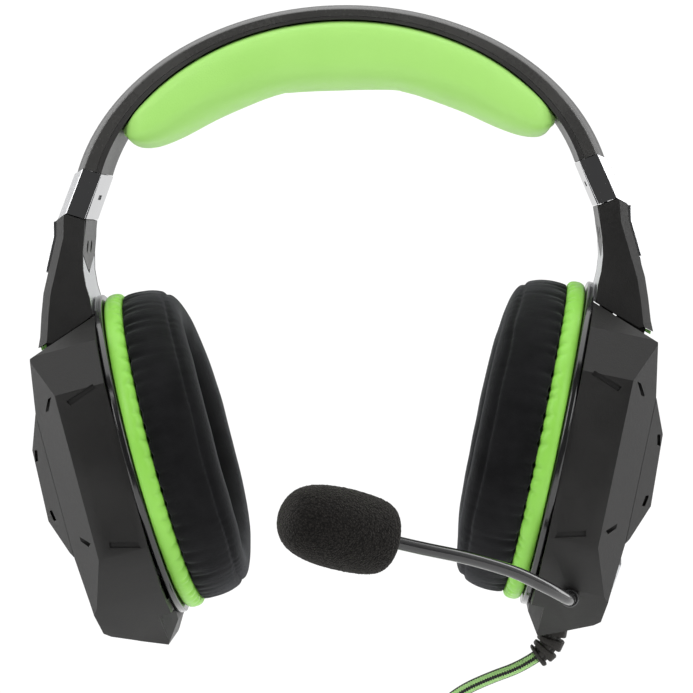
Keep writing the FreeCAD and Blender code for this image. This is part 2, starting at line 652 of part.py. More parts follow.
def cup_group(s):
    name = side(s)
    b = new_body(name + "_cup_shell")
    sk = new_sketch(b, "XZ_Plane")
    polygon(sk, mirrored(PROFILE, s))
    pad(b, sk, 84.0, "both")
    doc.recompute()
    keep_inside(b, "YZ_Plane", SIDE_OUTLINE)
    keep_inside(b, "XY_Plane", mirrored(PLAN, s))
    # chin's inner corners cut back
    sk = new_sketch(b, "XY_Plane", -63.0)
    polygon(sk, mirrored([(3.0, -6.0), (3.0, -40.0), (9.6, -40.0), (9.6, -19.0)], s))
    polygon(sk, mirrored([(3.0, 6.0), (3.0, 40.0), (9.6, 40.0), (9.6, 19.0)], s))
    pocket(b, sk, 13.0, "one", 1)
    dress("Fillet", b, lambda e: s * mid(e).x > 6.5, 0.7)
    # hollow
    sk = new_sketch(b, "YZ_Plane", 5.4 * s)
    polygon(sk, INNER)
    pocket(b, sk, 13.8, "one", s)
    sk = new_sketch(b, "YZ_Plane", 5.4 * s)
    polygon(sk, [(-26, 22), (-30, 10), (-30, -22), (-24, -40), (24, -40), (30, -22), (30, 10), (26, 22)])
    pocket(b, sk, 21.0, "one", s)
    # chin hollow for the cord and the boom's pivot
    sk = new_sketch(b, "YZ_Plane", 11.5 * s)
    polygon(sk, [(-22.0, -39.6), (-22.0, -47.5), (-13.0, -52.0), (13.0, -52.0), (22.0, -47.5),
                 (22.0, -39.6)])
    pocket(b, sk, 10.0, "one", s)
    # opening for the arm's neck
    sk = new_sketch(b, "XZ_Plane")
    polygon(sk, mirrored([(4.0, 25.6), (25.0, 25.6), (25.0, 60.0), (4.0, 60.0)], s))
    pocket(b, sk, 27.6, "both")
    # ears for the tilt pin
    sk = new_sketch(b, "XZ_Plane", 17.6)
    polygon(sk, mirrored([(8.0, 30.0), (22.0, 30.0), (22.0, 41.0), (8.0, 41.0)], s))
    pad(b, sk, 3.6, "one", -1)
    sk = new_sketch(b, "XZ_Plane", -17.6)
    polygon(sk, mirrored([(8.0, 30.0), (22.0, 30.0), (22.0, 41.0), (8.0, 41.0)], s))
    pad(b, sk, 3.6, "one", 1)
    sk = new_sketch(b, "XZ_Plane")
    circle(sk, (("pivot_out", s, 0)), ("pivot_up", 1, 0), ("pin_radius", 1, 0.05))
    pocket(b, sk, 35.0, "both")
    # screw bosses
    sk = new_sketch(b, "YZ_Plane", 5.4 * s)
    for y, v in BOSSES:
        circle(sk, y, v, 3.2)
    pad(b, sk, 14.6, "one", s)
    sk = new_sketch(b, "YZ_Plane", 5.3 * s)
    for y, v in BOSSES:
        circle(sk, y, v, 1.05)
    pocket(b, sk, 10.0, "one", s)
    # shallow grooves in the front and rear walls
    for y0, toward in ((42.0, -1), (-42.0, 1)):
        sk = new_sketch(b, "XZ_Plane", y0)
        polygon(sk, mirrored([(8.2, 25.2), (17.4, 21.8), (18.2, 23.4), (9.0, 26.6)], s))
        polygon(sk, mirrored([(7.6, -26.6), (17.0, -24.2), (16.6, -22.4), (8.2, -24.6)], s))
        pocket(b, sk, 1.9, "one", toward)
        # small vent slots in the bevels
        sk = new_sketch(b, "XZ_Plane", y0)
        polygon(sk, mirrored([(22.6, 26.0), (24.0, 25.5), (26.3, 21.6), (24.9, 21.9)], s))
        polygon(sk, mirrored([(22.6, -21.4), (23.6, -22.3), (27.0, -19.4), (26.0, -18.7)], s))
        pocket(b, sk, 6.6, "one", toward)
    if s > 0:
        # bore for the boom's hub in the front wall, and for the strain relief in the chin
        sk = new_sketch(b, "XZ_Plane", 60.0)
        circle(sk, ROOT_U, ROOT_V, 2.9)
        pocket(b, sk, 40.5, "one", -1)
        sk = new_sketch(b, "XY_Plane", -66.0)
        circle(sk, 15.6, 0.0, 3.12)
        pocket(b, sk, 18.0, "one", 1)
        # recess around the relief's first rib
        sk = new_sketch(b, "XY_Plane", -66.0)
        circle(sk, 15.6, 0.0, 5.25)
        pocket(b, sk, 8.8, "one", 1)
    in_cup_frame(b, s)

    # outer cap, its bevels in the planes of the housing's
    b = new_body(name + "_cup_cap")
    sk = new_sketch(b, "XZ_Plane")
    polygon(sk, mirrored([(30.05, 21.9), (34.9, 10.9), (36.0, -12.2), (31.2, -23.3), (30.05, -24.9)], s))
    pad(b, sk, 70.0, "both")
    doc.recompute()
    keep_inside(b, "XY_Plane", mirrored(PLAN, s))
    dress("Fillet", b, lambda e: s * mid(e).x > 30.6, 0.6)
    # plain six-sided recess in the outer face
    sk = new_sketch(b, "YZ_Plane", 40.0 * s)
    polygon(sk, [(-15, 0.5), (-8.5, 8.0), (8.5, 8.0), (15, 0.5), (8.5, -9.5), (-8.5, -9.5)])
    polygon(sk, [(-13.2, 0.2), (-7.6, 6.7), (7.6, 6.7), (13.2, 0.2), (7.6, -8.2), (-7.6, -8.2)])
    pocket(b, sk, 5.6, "one", -s)
    for y0, toward in ((42.0, -1), (-42.0, 1)):
        sk = new_sketch(b, "XZ_Plane", y0)
        polygon(sk, mirrored([(33.0, 10.6), (34.0, 10.6), (34.8, 7.1), (33.8, 7.1)], s))
        polygon(sk, mirrored([(33.5, -9.0), (34.5, -9.0), (33.9, -12.4), (32.9, -12.4)], s))
        pocket(b, sk, 18.6, "one", toward)
    in_cup_frame(b, s)

    # silver plate low on the outer side
    b = new_body(name + "_cup_silver_plate")
    sk = new_sketch(b, "XZ_Plane")
    polygon(sk, mirrored([(30.0, -26.9), (31.2, -32.9), (30.0, -43.8), (28.4, -50.6), (28.1, -50.6),
                          (28.77, -40.3), (29.9, -26.9)], s))
    pad(b, sk, 34.0, "both")
    doc.recompute()
    keep_inside(b, "YZ_Plane", [(-16, -26.0), (16, -26.0), (17, -33.0), (12.5, -44), (8.5, -51.5),
                                (-8.5, -51.5), (-12.5, -44), (-17, -33.0)])
    in_cup_frame(b, s)

    # baffle plate: its rim is the glossy lip beside the cushion ring
    b = new_body(name + "_baffle")
    sk = new_sketch(b, "YZ_Plane", 2.95 * s)
    ellipse(sk, 43.2, 53.0)
    pad(b, sk, 2.4, "one", s)
    dress("Fillet", b, lambda e: e.Length > 100, 0.7)
    sk = new_sketch(b, "YZ_Plane", 2.0 * s)
    circle(sk, 0.0, 0.0, 1.5)
    for k in range(6):
        a = math.radians(60 * k + 30)
        circle(sk, 5.4 * math.cos(a), 5.4 * math.sin(a), 1.5)
    for k in range(12):
        a = math.radians(30 * k)
        circle(sk, 10.6 * math.cos(a), 10.6 * math.sin(a), 1.5)
    for k in range(16):
        a = math.radians(22.5 * k)
        circle(sk, 15.8 * math.cos(a), 15.8 * math.sin(a), 1.5)
    pocket(b, sk, 6.0, "one", s)
    sk = new_sketch(b, "YZ_Plane", 2.0 * s)
    for y, v in BOSSES:
        circle(sk, y, v, 1.1)
    pocket(b, sk, 6.0, "one", s)
    sk = new_sketch(b, "YZ_Plane", 2.0 * s)
    for y, v in BOSSES:
        circle(sk, y, v, 2.3)
    pocket(b, sk, 2.2, "one", s)
    in_cup_frame(b, s)

    # screws through the baffle into the housing's bosses
    solids = []
    place = FreeCAD.Placement(V(s * D["cup_x"], 0, D["cup_z"]), FreeCAD.Rotation(V(0, 1, 0), s * D["cup_tilt"]))
    for y, v in BOSSES:
        solids.append(aim(screw_solid(2.2, 1.1, 1.0, 8.0), V(s * 3.0, y, v), V(s, 0, 0)))
    group_of(name + "_cup_screws", solids, place)

    # driver: frame and magnet in one, the diaphragm in front
    b = new_body(name + "_driver_frame")
    sk = new_sketch(b, "XZ_Plane")
    polygon(sk, mirrored([(5.5, 20.4), (5.5, ("driver_radius", 1, 0)), (8.6, ("driver_radius", 1, 0)),
                          (9.6, 21.5), (13.4, 17.5), (13.4, 12.0), (17.8, 12.0), (17.8, 0.0),
                          (8.4, 0.0), (8.4, 11.0), (7.0, 20.4)], s))
    f = b.newObject("PartDesign::Revolution", name + "_driver_turn")
    f.Profile = sk
    f.ReferenceAxis = (sk, ["H_Axis"])
    f.Angle = 360.0
    sk.Visibility = False
    in_cup_frame(b, s)
    b = new_body(name + "_driver_diaphragm")
    sk = new_sketch(b, "XZ_Plane")
    polygon(sk, mirrored([(6.0, 0.0), (6.0, 6.0), (6.6, 10.0), (6.0, 14.0), (6.4, 20.2), (6.75, 20.2),
                          (6.35, 14.0), (6.95, 10.0), (6.35, 6.0), (6.35, 0.0)], s))
    f = b.newObject("PartDesign::Revolution", name + "_diaphragm_turn")
    f.Profile = sk
    f.ReferenceAxis = (sk, ["H_Axis"])
    f.Angle = 360.0
    sk.Visibility = False
    in_cup_frame(b, s)

    # ring around the cushion's base
    b = new_body(name + "_cushion_ring")
    sk = new_sketch(b, "YZ_Plane", -D["ring_half_thick"] * s)
    ellipse(sk, ("ring_half_deep", 1, 0), ("ring_half_tall", 1, 0))
    ellipse(sk, ("ring_half_deep", 1, -9), ("ring_half_tall", 1, -9))
    pad(b, sk, ("ring_half_thick", 2, 0), "one", s)
    dress("Fillet", b, lambda e: e.Length > 290, 2.0)
    in_cup_frame(b, s)

    # clip ring that holds the cushion on the baffle
    b = new_body(name + "_cushion_clip")
    sk = new_sketch(b, "YZ_Plane", 0.2 * s)
    ellipse(sk, ("ring_half_deep", 1, -9.4), ("ring_half_tall", 1, -9.4))
    ellipse(sk, ("ring_half_deep", 1, -14.5), ("ring_half_tall", 1, -14.5))
    pad(b, sk, 2.7, "one", s)
    in_cup_frame(b, s)

    # ear cushion, plain soft solid
    b = new_body(name + "_ear_cushion")
    sk = new_sketch(b, "YZ_Plane", -D["velour_face"] * s)
    ellipse(sk, ("velour_half_deep", 1, 0), ("velour_half_tall", 1, 0))
    ellipse(sk, ("ear_half_deep", 1, 0), ("ear_half_tall", 1, 0))
    pad(b, sk, D["velour_face"] - 3.0, "one", s)
    dress("Fillet", b, lambda e: s * mid(e).x < -20 and e.Length > 230, 7.0)
    dress("Fillet", b, lambda e: s * mid(e).x < -20 and 150 < e.Length < 205, 5.0)
    in_cup_frame(b, s)


for s in (1, -1):
    cup_group(s)

# small terminal board in the left cup, where the cord's, the boom's and the drivers' wires meet
b = new_body("left_terminal_board")
sk = new_sketch(b, "YZ_Plane", 20.6)
polygon(sk, [(-12, -38), (12, -38), (12, -24), (-12, -24)])
pad(b, sk, 1.2)
sk = new_sketch(b, "YZ_Plane", 20.6)
for k in range(5):
    polygon(sk, [(-9.6 + 4.2 * k, -36.4), (-7.4 + 4.2 * k, -36.4), (-7.4 + 4.2 * k, -33.6), (-9.6 + 4.2 * k, -33.6)])
pad(b, sk, 1.4, "one", -1)
in_cup_frame(b, 1)


# ---------------------------------------------------------------- round paths
def rounded_path(points, share=0.45, report=None):
    """Straight runs joined by tangent arcs; the arcs' radii are printed."""
    P = [V(*p) for p in points]
    edges = []
    start = P[0]
    for i in range(1, len(P) - 1):
        a, c = P[i] - P[i - 1], P[i + 1] - P[i]
        la, lc = a.Length, c.Length
        a.normalize()
        c.normalize()
        turn = math.acos(max(-1.0, min(1.0, a.dot(c))))
        t = share * min(la, lc)
        r = t / math.tan(turn / 2.0)
        p0, p1 = P[i] - a * t, P[i] + c * t
        bis = (c - a)
        bis.normalize()
        centre = P[i] + bis * (r / math.cos(turn / 2.0))
        m = centre - bis * r
        if report is not None:
            report.append((round(math.degrees(turn), 1), round(r, 1), round(la, 1)))
        edges.append(Part.LineSegment(start, p0).toShape())
        edges.append(Part.Arc(p0, m, p1).toShape())
        start = p1
    edges.append(Part.LineSegment(start, P[-1]).toShape())
    return Part.Wire(edges)


def tube(wire, radius):
    e = wire.Edges[0]
    p = e.valueAt(e.FirstParameter)
    d = e.tangentAt(e.FirstParameter)
    ring = Part.Wire([Part.Circle(p, d, radius).toShape()])
    solid = wire.makePipeShell([ring], True, False)
    if solid.Volume < 0:
        solid.reverse()
    want = math.pi * radius ** 2 * wire.Length
    print("tube: length %.1f, volume %.1f, section x length %.1f, valid %s"
          % (wire.Length, solid.Volume, want, solid.isValid()))
    return solid


# ---------------------------------------------------------------- microphone
RX, RZ = cup_point(ROOT_U, ROOT_V)
BOOM = [(RX, -34.0, RZ), (RX - 0.3, -43.0, RZ + 0.3), (RX - 6.0, -51.5, RZ + 4.6),
        (RX - 17.0, -60.5, RZ + 11.4), (RX - 31.5, -71.0, RZ + 17.2), (RX - 45.5, -80.0, RZ + 21.3),
        (RX - 58.0, -87.5, RZ + 25.4)]
FOAM_AXIS = V(BOOM[-1][0] - BOOM[-2][0], BOOM[-1][1] - BOOM[-2][1], BOOM[-1][2] - BOOM[-2][2])
FOAM_AXIS.normalize()
boom_end = V(*BOOM[-1])
notes = []
path = rounded_path(BOOM, 0.45, notes)
print("boom turns:", notes)
boom = tube(path, D["boom_radius"])
hub = Part.makeCylinder(2.84, 17.4, V(RX, -19.2, RZ), V(0, -1, 0))
hub = hub.makeChamfer(0.4, [e for e in hub.Edges if e.Length > 15 and mid(e).y < -30])
hub = hub.fuse(Part.makeCylinder(4.2, 1.4, V(RX, -18.0, RZ), V(0, -1, 0)))
f = doc.addObject("Part::Feature", "mic_boom")
f.Label = "mic_boom"
f.Shape = hub.fuse(boom).removeSplitter()
f.Placement = FreeCAD.Placement()
PARTS.append((f, "mic_boom"))

mic_place = FreeCAD.Placement(boom_end, FreeCAD.Rotation(V(0, 0, 1), FOAM_AXIS))
b = new_body("mic_capsule_housing")
sk = new_sketch(b, "XZ_Plane")
polygon(sk, [(0, 0.0), (2.6, 0.0), (3.4, 1.2), (3.4, 5.0), (5.6, 7.5), (5.6, 15.0), (4.8, 15.0), (4.8, 9.0),
             (0, 9.0)])
f = b.newObject("PartDesign::Revolution", "capsule_housing_turn")
f.Profile = sk
f.ReferenceAxis = (sk, ["V_Axis"])
f.Angle = 360.0
sk.Visibility = False
b.Placement = mic_place
b = new_body("mic_capsule")
sk = new_sketch(b, "XY_Plane", 9.2)
circle(sk, 0.0, 0.0, 4.75)
pad(b, sk, 5.0)
dress("Chamfer", b, lambda e: e.Length > 20 and mid(e).z > 13, 0.5)
b.Placement = mic_place
b = new_body("mic_foam")
sk = new_sketch(b, "XZ_Plane")
fr = D["foam_radius"]
pts = [(3.55, -3.0), (9.3, -3.2), (11.2, -1.0), (fr, 5.0), (fr, 15.0), (fr - 0.5, 21.0), (fr - 1.9, 26.0),
       (fr - 4.6, 29.8), (3.0, 31.8), (0.0, 32.0), (0.0, 15.3), (5.75, 15.3), (5.75, 7.45), (3.55, 5.1)]
polygon(sk, pts)
f = b.newObject("PartDesign::Revolution", "foam_turn")
f.Profile = sk
f.ReferenceAxis = (sk, ["V_Axis"])
f.Angle = 360.0
sk.Visibility = False
b.Placement = mic_place

# ---------------------------------------------------------------- strain relief, cord, coil and plug
CORD = [(58.6, 0.0, -184.9), (53.4, 0.0, -188.2), (43.6, 0.0, -191.4), (33.2, 0.3, -195.9),
        (24.0, 0.6, -203.8), (18.3, 0.6, -214.6), (16.3, 0.3, -226.4), (11.2, 0.0, -237.3),
        (3.2, 0.0, -244.05)]
RELIEF = [(cup_point(15.6, -52.6)[0], 0.0, cup_point(15.6, -52.6)[1]),
          (cup_point(15.6, -58.4)[0], 0.0, cup_point(15.6, -58.4)[1]),
          (62.6, 0.0, -182.36), (58.6, 0.0, -184.9)]
notes = []
relief_path = rounded_path(RELIEF, 0.45, notes)
print("relief turns:", notes)
core = tube(relief_path, 3.1)
ribs = []
for start, stop, radius in ((5.7, 8.3, 4.4), (9.4, 12.0, 4.55), (13.1, 15.2, 4.35)):
    middle, done = (start + stop) / 2.0, 0.0
    for e in relief_path.Edges:
        if done + e.Length >= middle:
            par = e.getParameterByLength(middle - done)
            p, t = e.valueAt(par), e.tangentAt(par)
            break
        done += e.Length
    ribs.append(Part.makeCylinder(radius, stop - start, p - t * ((stop - start) / 2.0), t))
endp = V(*RELIEF[-1])
endt = V(RELIEF[-1][0] - RELIEF[-2][0], 0, RELIEF[-1][2] - RELIEF[-2][2])
endt.normalize()
ribs.append(Part.makeCylinder(4.1, 1.2, endp - endt * 1.2, endt))
relief = core.fuse(ribs).removeSplitter()
f = doc.addObject("Part::Feature", "strain_relief")
f.Label = "strain_relief"
f.Shape = relief
PARTS.append((f, "strain_relief"))

notes = []
cord_path = rounded_path(CORD, 0.45, notes)
print("cord turns (degrees, radius, run):", notes)
f = doc.addObject("Part::Feature", "cord_tube")
f.Label = "cord_tube"
f.Shape = tube(cord_path, D["cord_radius"])
PARTS.append((f, "cord_tube"))

COIL = V(16.7, 0.0, -271.9)
coil = doc.addObject("Part::Torus", "cord_coil")
coil.Label = "cord_coil"
coil.setExpression("Radius1", "dims.coil_radius")
coil.setExpression("Radius2", "dims.coil_section")
coil.Placement = FreeCAD.Placement(COIL, FreeCAD.Rotation(V(1, 0, 0), 90))
PARTS.append((coil, "cord_coil"))

# tie: a band round the bundle and the incoming cord, where the cord joins the coil
TIE_AT = math.radians(122.0)
b = new_body("cord_tie")
sk = new_sketch(b, "XY_Plane", -3.0)
circle(sk, 0.0, 0.0, 10.0)
circle(sk, 0.0, 0.0, 8.7)
pad(b, sk, 6.0)
dress("Fillet", b, lambda e: e.Length > 50, 0.4)
b.Placement = FreeCAD.Placement(
    V(COIL.x + D["coil_radius"] * math.cos(TIE_AT), 0, COIL.z + D["coil_radius"] * math.sin(TIE_AT)),
    FreeCAD.Rotation(V(0, 0, 1), V(-math.sin(TIE_AT), 0, math.cos(TIE_AT))))

# the lead's end hangs down in front of the coil's side
tail_x, tail_y = COIL.x - D["coil_radius"], -(D["coil_section"] + D["cord_radius"]) + 0.1
tail = doc.addObject("Part::Cylinder", "cord_tail")
tail.Label = "cord_tail"
tail.setExpression("Radius", "dims.cord_radius")
tail.Height = 34.0
tail.Placement = FreeCAD.Placement(V(tail_x, tail_y, COIL.z - 30.0), FreeCAD.Rotation())
PARTS.append((tail, "cord_tail"))

b = new_body("plug_body")
sk = new_sketch(b, "XZ_Plane")
polygon(sk, [(0.0, 0.0), (2.4, 0.0), (3.0, -3.0), (4.2, -6.0), (4.2, -20.5), (3.6, -22.0), (0.0, -22.0)])
f = b.newObject("PartDesign::Revolution", "plug_body_turn")
f.Profile = sk
f.ReferenceAxis = (sk, ["V_Axis"])
f.Angle = 360.0
sk.Visibility = False
b.Placement = FreeCAD.Placement(V(tail_x, tail_y, COIL.z - 30.0), FreeCAD.Rotation())
b = new_body("plug_pin")
sk = new_sketch(b, "XZ_Plane")
pr = ("plug_pin_radius", 1, 0)
pl = ("plug_pin_length", -1, 0)
polygon(sk, [(0.0, 0.0), (pr, 0.0), (pr, ("plug_pin_length", -1, 2.4)), (("plug_pin_radius", 1, -0.55), ("plug_pin_length", -1, 1.5)),
             (("plug_pin_radius", 1, -0.25), ("plug_pin_length", -1, 0.8)), (0.7, pl), (0.0, pl)])
f = b.newObject("PartDesign::Revolution", "plug_pin_turn")
f.Profile = sk
f.ReferenceAxis = (sk, ["V_Axis"])
f.Angle = 360.0
sk.Visibility = False
b.Placement = FreeCAD.Placement(V(tail_x, tail_y, COIL.z - 52.0), FreeCAD.Rotation())
print("plug pin from z %.1f to %.1f at x %.1f y %.2f; coil centre %.1f %.1f"
      % (COIL.z - 52.0, COIL.z - 66.0, tail_x, tail_y, COIL.x, COIL.z))
print("pivot", PIVOT, "boom root", RX, RZ, "foam axis", FOAM_AXIS)

# ---------------------------------------------------------------- checks and export
doc.recompute()
faults = []
for obj in doc.Objects:
    if "Invalid" in obj.State or "Error" in obj.State:
        faults.append("%s %s" % (obj.Label, obj.State))
names = [n for _, n in PARTS]
if len(set(names)) != len(names) or len(names) > 60:
    faults.append("names: %d of %d" % (len(set(names)), len(names)))
for obj, node in PARTS:
    if obj.Label != node:
        faults.append("label of %s is %s" % (node, obj.Label))
    if obj.Shape.isNull() or not obj.Shape.isValid() or not obj.Shape.Solids:
        faults.append("shape of " + node)
    elif len(obj.Shape.Solids) != 1 and "screws" not in node:
        faults.append("%s has %d solids" % (node, len(obj.Shape.Solids)))
if faults:
    raise RuntimeError("; ".join(faults))
os.makedirs("parts", exist_ok=True)
for old in os.listdir("parts"):
    if old.endswith(".step") and old[:-5] not in names:
        os.remove(os.path.join("parts", old))
for obj, node in PARTS:
    obj.Shape.exportStep(os.path.join("parts", node + ".step"))
print(len(PARTS), "parts written")
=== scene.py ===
import json
import math

import bmesh
import bpy
import numpy as np
from mathutils import Matrix, Quaternion, Vector


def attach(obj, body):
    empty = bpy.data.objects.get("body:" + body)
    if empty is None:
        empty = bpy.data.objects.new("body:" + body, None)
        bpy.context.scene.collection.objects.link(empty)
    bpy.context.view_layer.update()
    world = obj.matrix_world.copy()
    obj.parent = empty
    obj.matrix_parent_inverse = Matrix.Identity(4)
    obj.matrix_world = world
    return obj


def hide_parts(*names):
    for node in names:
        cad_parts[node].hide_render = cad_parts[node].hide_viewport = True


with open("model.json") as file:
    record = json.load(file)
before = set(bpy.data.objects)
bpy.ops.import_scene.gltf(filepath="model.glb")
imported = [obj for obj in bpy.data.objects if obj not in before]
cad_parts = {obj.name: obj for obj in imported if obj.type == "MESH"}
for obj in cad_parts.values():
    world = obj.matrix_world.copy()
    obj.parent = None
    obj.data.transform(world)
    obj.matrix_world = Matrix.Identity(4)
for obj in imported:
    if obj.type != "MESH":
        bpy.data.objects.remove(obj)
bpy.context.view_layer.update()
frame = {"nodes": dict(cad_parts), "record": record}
NODES = frame["nodes"]
MM = 0.001
SCENE = bpy.context.scene

# ------------------------------------------------------------------ camera
CAM_AZ, CAM_EL, CAM_ROLL = 2.0, 2.0, 1.6       # degrees
CAM_AT = Vector((0.0, 0.0, -0.0831))
CAM_FAR = 1.0
CAM_FOV = 12.76
cam_data = bpy.data.cameras.new("camera")
cam = bpy.data.objects.new("camera", cam_data)
SCENE.collection.objects.link(cam)
a, e = math.radians(CAM_AZ), math.radians(CAM_EL)
back = Vector((math.sin(a) * math.cos(e), -math.cos(a) * math.cos(e), math.sin(e)))
cam.location = CAM_AT + back * CAM_FAR
cam.rotation_mode = "QUATERNION"
cam.rotation_quaternion = (-back).to_track_quat("-Z", "Y") @ Quaternion((0, 0, 1), math.radians(-CAM_ROLL))
cam_data.sensor_width = 36.0
cam_data.lens = 18.0 / math.tan(math.radians(CAM_FOV / 2))
cam_data.clip_start, cam_data.clip_end = 0.05, 20.0
SCENE.camera = cam


# ------------------------------------------------------------------ helpers
def link(name, mesh):
    ob = bpy.data.objects.new(name, mesh)
    SCENE.collection.objects.link(ob)
    return ob


def grid(name, pts, wrap_rows=True, wrap_cols=True, uv=None, caps=False):
    """A smooth mesh from a grid of points in millimetres: rows run along the piece, columns round it."""
    pts = np.asarray(pts, float)
    n, m = pts.shape[:2]
    verts = (pts.reshape(-1, 3) * MM).tolist()
    faces, corners = [], []
    for i in range(n if wrap_rows else n - 1):
        for j in range(m if wrap_cols else m - 1):
            i2, j2 = (i + 1) % n, (j + 1) % m
            faces.append((i * m + j, i * m + j2, i2 * m + j2, i2 * m + j))
            corners.append(((i, j), (i, j + 1), (i + 1, j + 1), (i + 1, j)))
    if caps:
        faces.append(tuple(reversed(range(m))))
        faces.append(tuple((n - 1) * m + j for j in range(m)))
    me = bpy.data.meshes.new(name)
    me.from_pydata(verts, [], faces)
    if uv is not None:
        layer = me.uv_layers.new(name="UVMap")
        k = 0
        for cs in corners:
            for (i, j) in cs:
                layer.data[k].uv = uv(i, j)
                k += 1
    bm = bmesh.new()
    bm.from_mesh(me)
    bmesh.ops.recalc_face_normals(bm, faces=bm.faces)
    bm.to_mesh(me)
    bm.free()
    me.polygons.foreach_set("use_smooth", [True] * len(me.polygons))
    me.update()
    return link(name, me)


def spline_through(points, count, closed=False):
    """Even steps along a Catmull-Rom line through the points."""
    P = np.asarray(points, float)
    n = len(P)
    out = []
    spans = n if closed else n - 1
    for i in range(spans):
        idx = [(i - 1), i, i + 1, i + 2]
        p = [P[k % n] if closed else P[min(max(k, 0), n - 1)] for k in idx]
        for t in np.linspace(0, 1, 24, endpoint=False):
            out.append(0.5 * ((2 * p[1]) + (-p[0] + p[2]) * t + (2 * p[0] - 5 * p[1] + 4 * p[2] - p[3]) * t * t
                              + (-p[0] + 3 * p[1] - 3 * p[2] + p[3]) * t ** 3))
    out.append(P[0] if closed else P[-1])
    out = np.array(out)
    d = np.r_[0, np.cumsum(np.linalg.norm(np.diff(out, axis=0), axis=1))]
    want = np.linspace(0, d[-1], count, endpoint=not closed)
    return np.stack([np.interp(want, d, out[:, k]) for k in range(out.shape[1])], 1)


def smooth(x, lo, hi):
    t = np.clip((np.asarray(x, float) - lo) / (hi - lo), 0, 1)
    return t * t * (3 - 2 * t)


def frames_along(pts):
    """Tangents and a pair of side directions that don't twist, along a line of points."""
    pts = np.asarray(pts, float)
    tan = np.gradient(pts, axis=0)
    tan /= np.linalg.norm(tan, axis=1)[:, None]
    ref = np.array([0.0, 1.0, 0.0])
    side = np.zeros_like(pts)
    a0 = ref - tan[0] * ref.dot(tan[0])
    side[0] = a0 / np.linalg.norm(a0)
    for i in range(1, len(pts)):
        s = side[i - 1] - tan[i] * side[i - 1].dot(tan[i])
        side[i] = s / np.linalg.norm(s)
    return tan, side, np.cross(tan, side)


def nurbs_line(name, pts, steps):
    """The NURBS spline of a route, read back as a fine line of points (millimetres)."""
    cu = bpy.data.curves.new(name, "CURVE")
    cu.dimensions = "3D"
    sp = cu.splines.new("NURBS")
    sp.points.add(len(pts) - 1)
    for q, p in zip(sp.points, pts):
        q.co = (p[0] * MM, p[1] * MM, p[2] * MM, 1.0)
    sp.use_endpoint_u = True
    sp.order_u = 3
    sp.resolution_u = steps
    ob = link(name, cu)
    bpy.context.view_layer.update()
    me = bpy.data.meshes.new_from_object(ob)
    line = np.array([v.co[:] for v in me.vertices]) / MM
    bpy.data.objects.remove(ob)
    bpy.data.meshes.remove(me)
    bpy.data.curves.remove(cu)
    return line


# ------------------------------------------------------------------ the braided cord's line
ROUTE = [(58.6, 0.0, -184.9), (53.4, 0.0, -188.2), (43.6, 0.0, -191.4), (33.2, 0.3, -195.9),
         (24.0, 0.6, -203.8), (18.3, 0.6, -214.6), (16.3, 0.3, -226.4), (11.2, 0.0, -237.3),
         (3.2, 0.0, -244.05)]
COIL = (16.7, 0.0, -271.9)
COIL_R, CORD_D, PER = 24.0, 4.0, 14
TAIL = (COIL[0] - COIL_R, -10.1)
TAIL_END = COIL[2] - 30.0


def bundle_slots():
    """Twelve places in the bundle's section, as (outwards, y): nine outside, three inside."""
    ring = [(6.1 * math.cos(math.radians(40 * k)), 6.1 * math.sin(math.radians(40 * k))) for k in range(9)]
    core = [(2.31 * math.cos(math.radians(q)), 2.31 * math.sin(math.radians(q))) for q in (240, 120, 0)]
    return np.array(ring[:7] + core + [ring[8], ring[7]])


def shifted(w):
    """The turns' places while each moves over to the next one, pushed apart to a cord's width."""
    P = bundle_slots()
    Q = P[:-1] * (1 - w) + P[1:] * w
    for _ in range(80):
        for i in range(len(Q)):
            for j in range(i):
                d = Q[i] - Q[j]
                r = math.hypot(*d)
                if 1e-6 < r < 3.85:
                    push = d / r * (3.85 - r) * 0.25
                    Q[i] += push
                    Q[j] -= push
        far = np.linalg.norm(Q, axis=1)
        Q *= np.minimum(1.0, 6.6 / np.maximum(far, 1e-6))[:, None]
    return Q


def coil_points():
    """Twelve turns beside and on each other, from the route's end at the upper left, round to the
    left side, where the end leaves at the front."""
    P = bundle_slots()
    start, steps = 130.0, 12 * PER + 2
    cache, pts = {}, []
    for i in range(steps + 1):
        turn = i / PER
        k = min(int(turn), 11)
        f = turn - k
        if k == 11 and turn >= 12.0:
            off = P[11]
        elif k == 11:
            off = P[11]
        else:
            w = float(smooth(f, 0.18, 0.62))
            key = round(w, 4)
            if 0 < w < 1:
                if key not in cache:
                    cache[key] = shifted(w)
                off = cache[key][k]
            else:
                off = P[k] if w <= 0 else P[k + 1]
        out, y = float(off[0]), float(off[1])
        if turn > 12.0:
            w = float(smooth(turn, 12.0, 12.14))
            out, y = out * (1 - w), y * (1 - w) + TAIL[1] * 0.85 * w
        ang = math.radians(start + 360.0 * turn)
        r = (COIL_R + out) / math.cos(math.pi / PER)
        pts.append((COIL[0] + r * math.cos(ang), y, COIL[2] + r * math.sin(ang)))
    return pts


def tail_points():
    x, y = TAIL
    return [(x, y, COIL[2] + 1.0), (x, y, COIL[2] - 9.0), (x, y, COIL[2] - 20.0), (x, y, TAIL_END)]


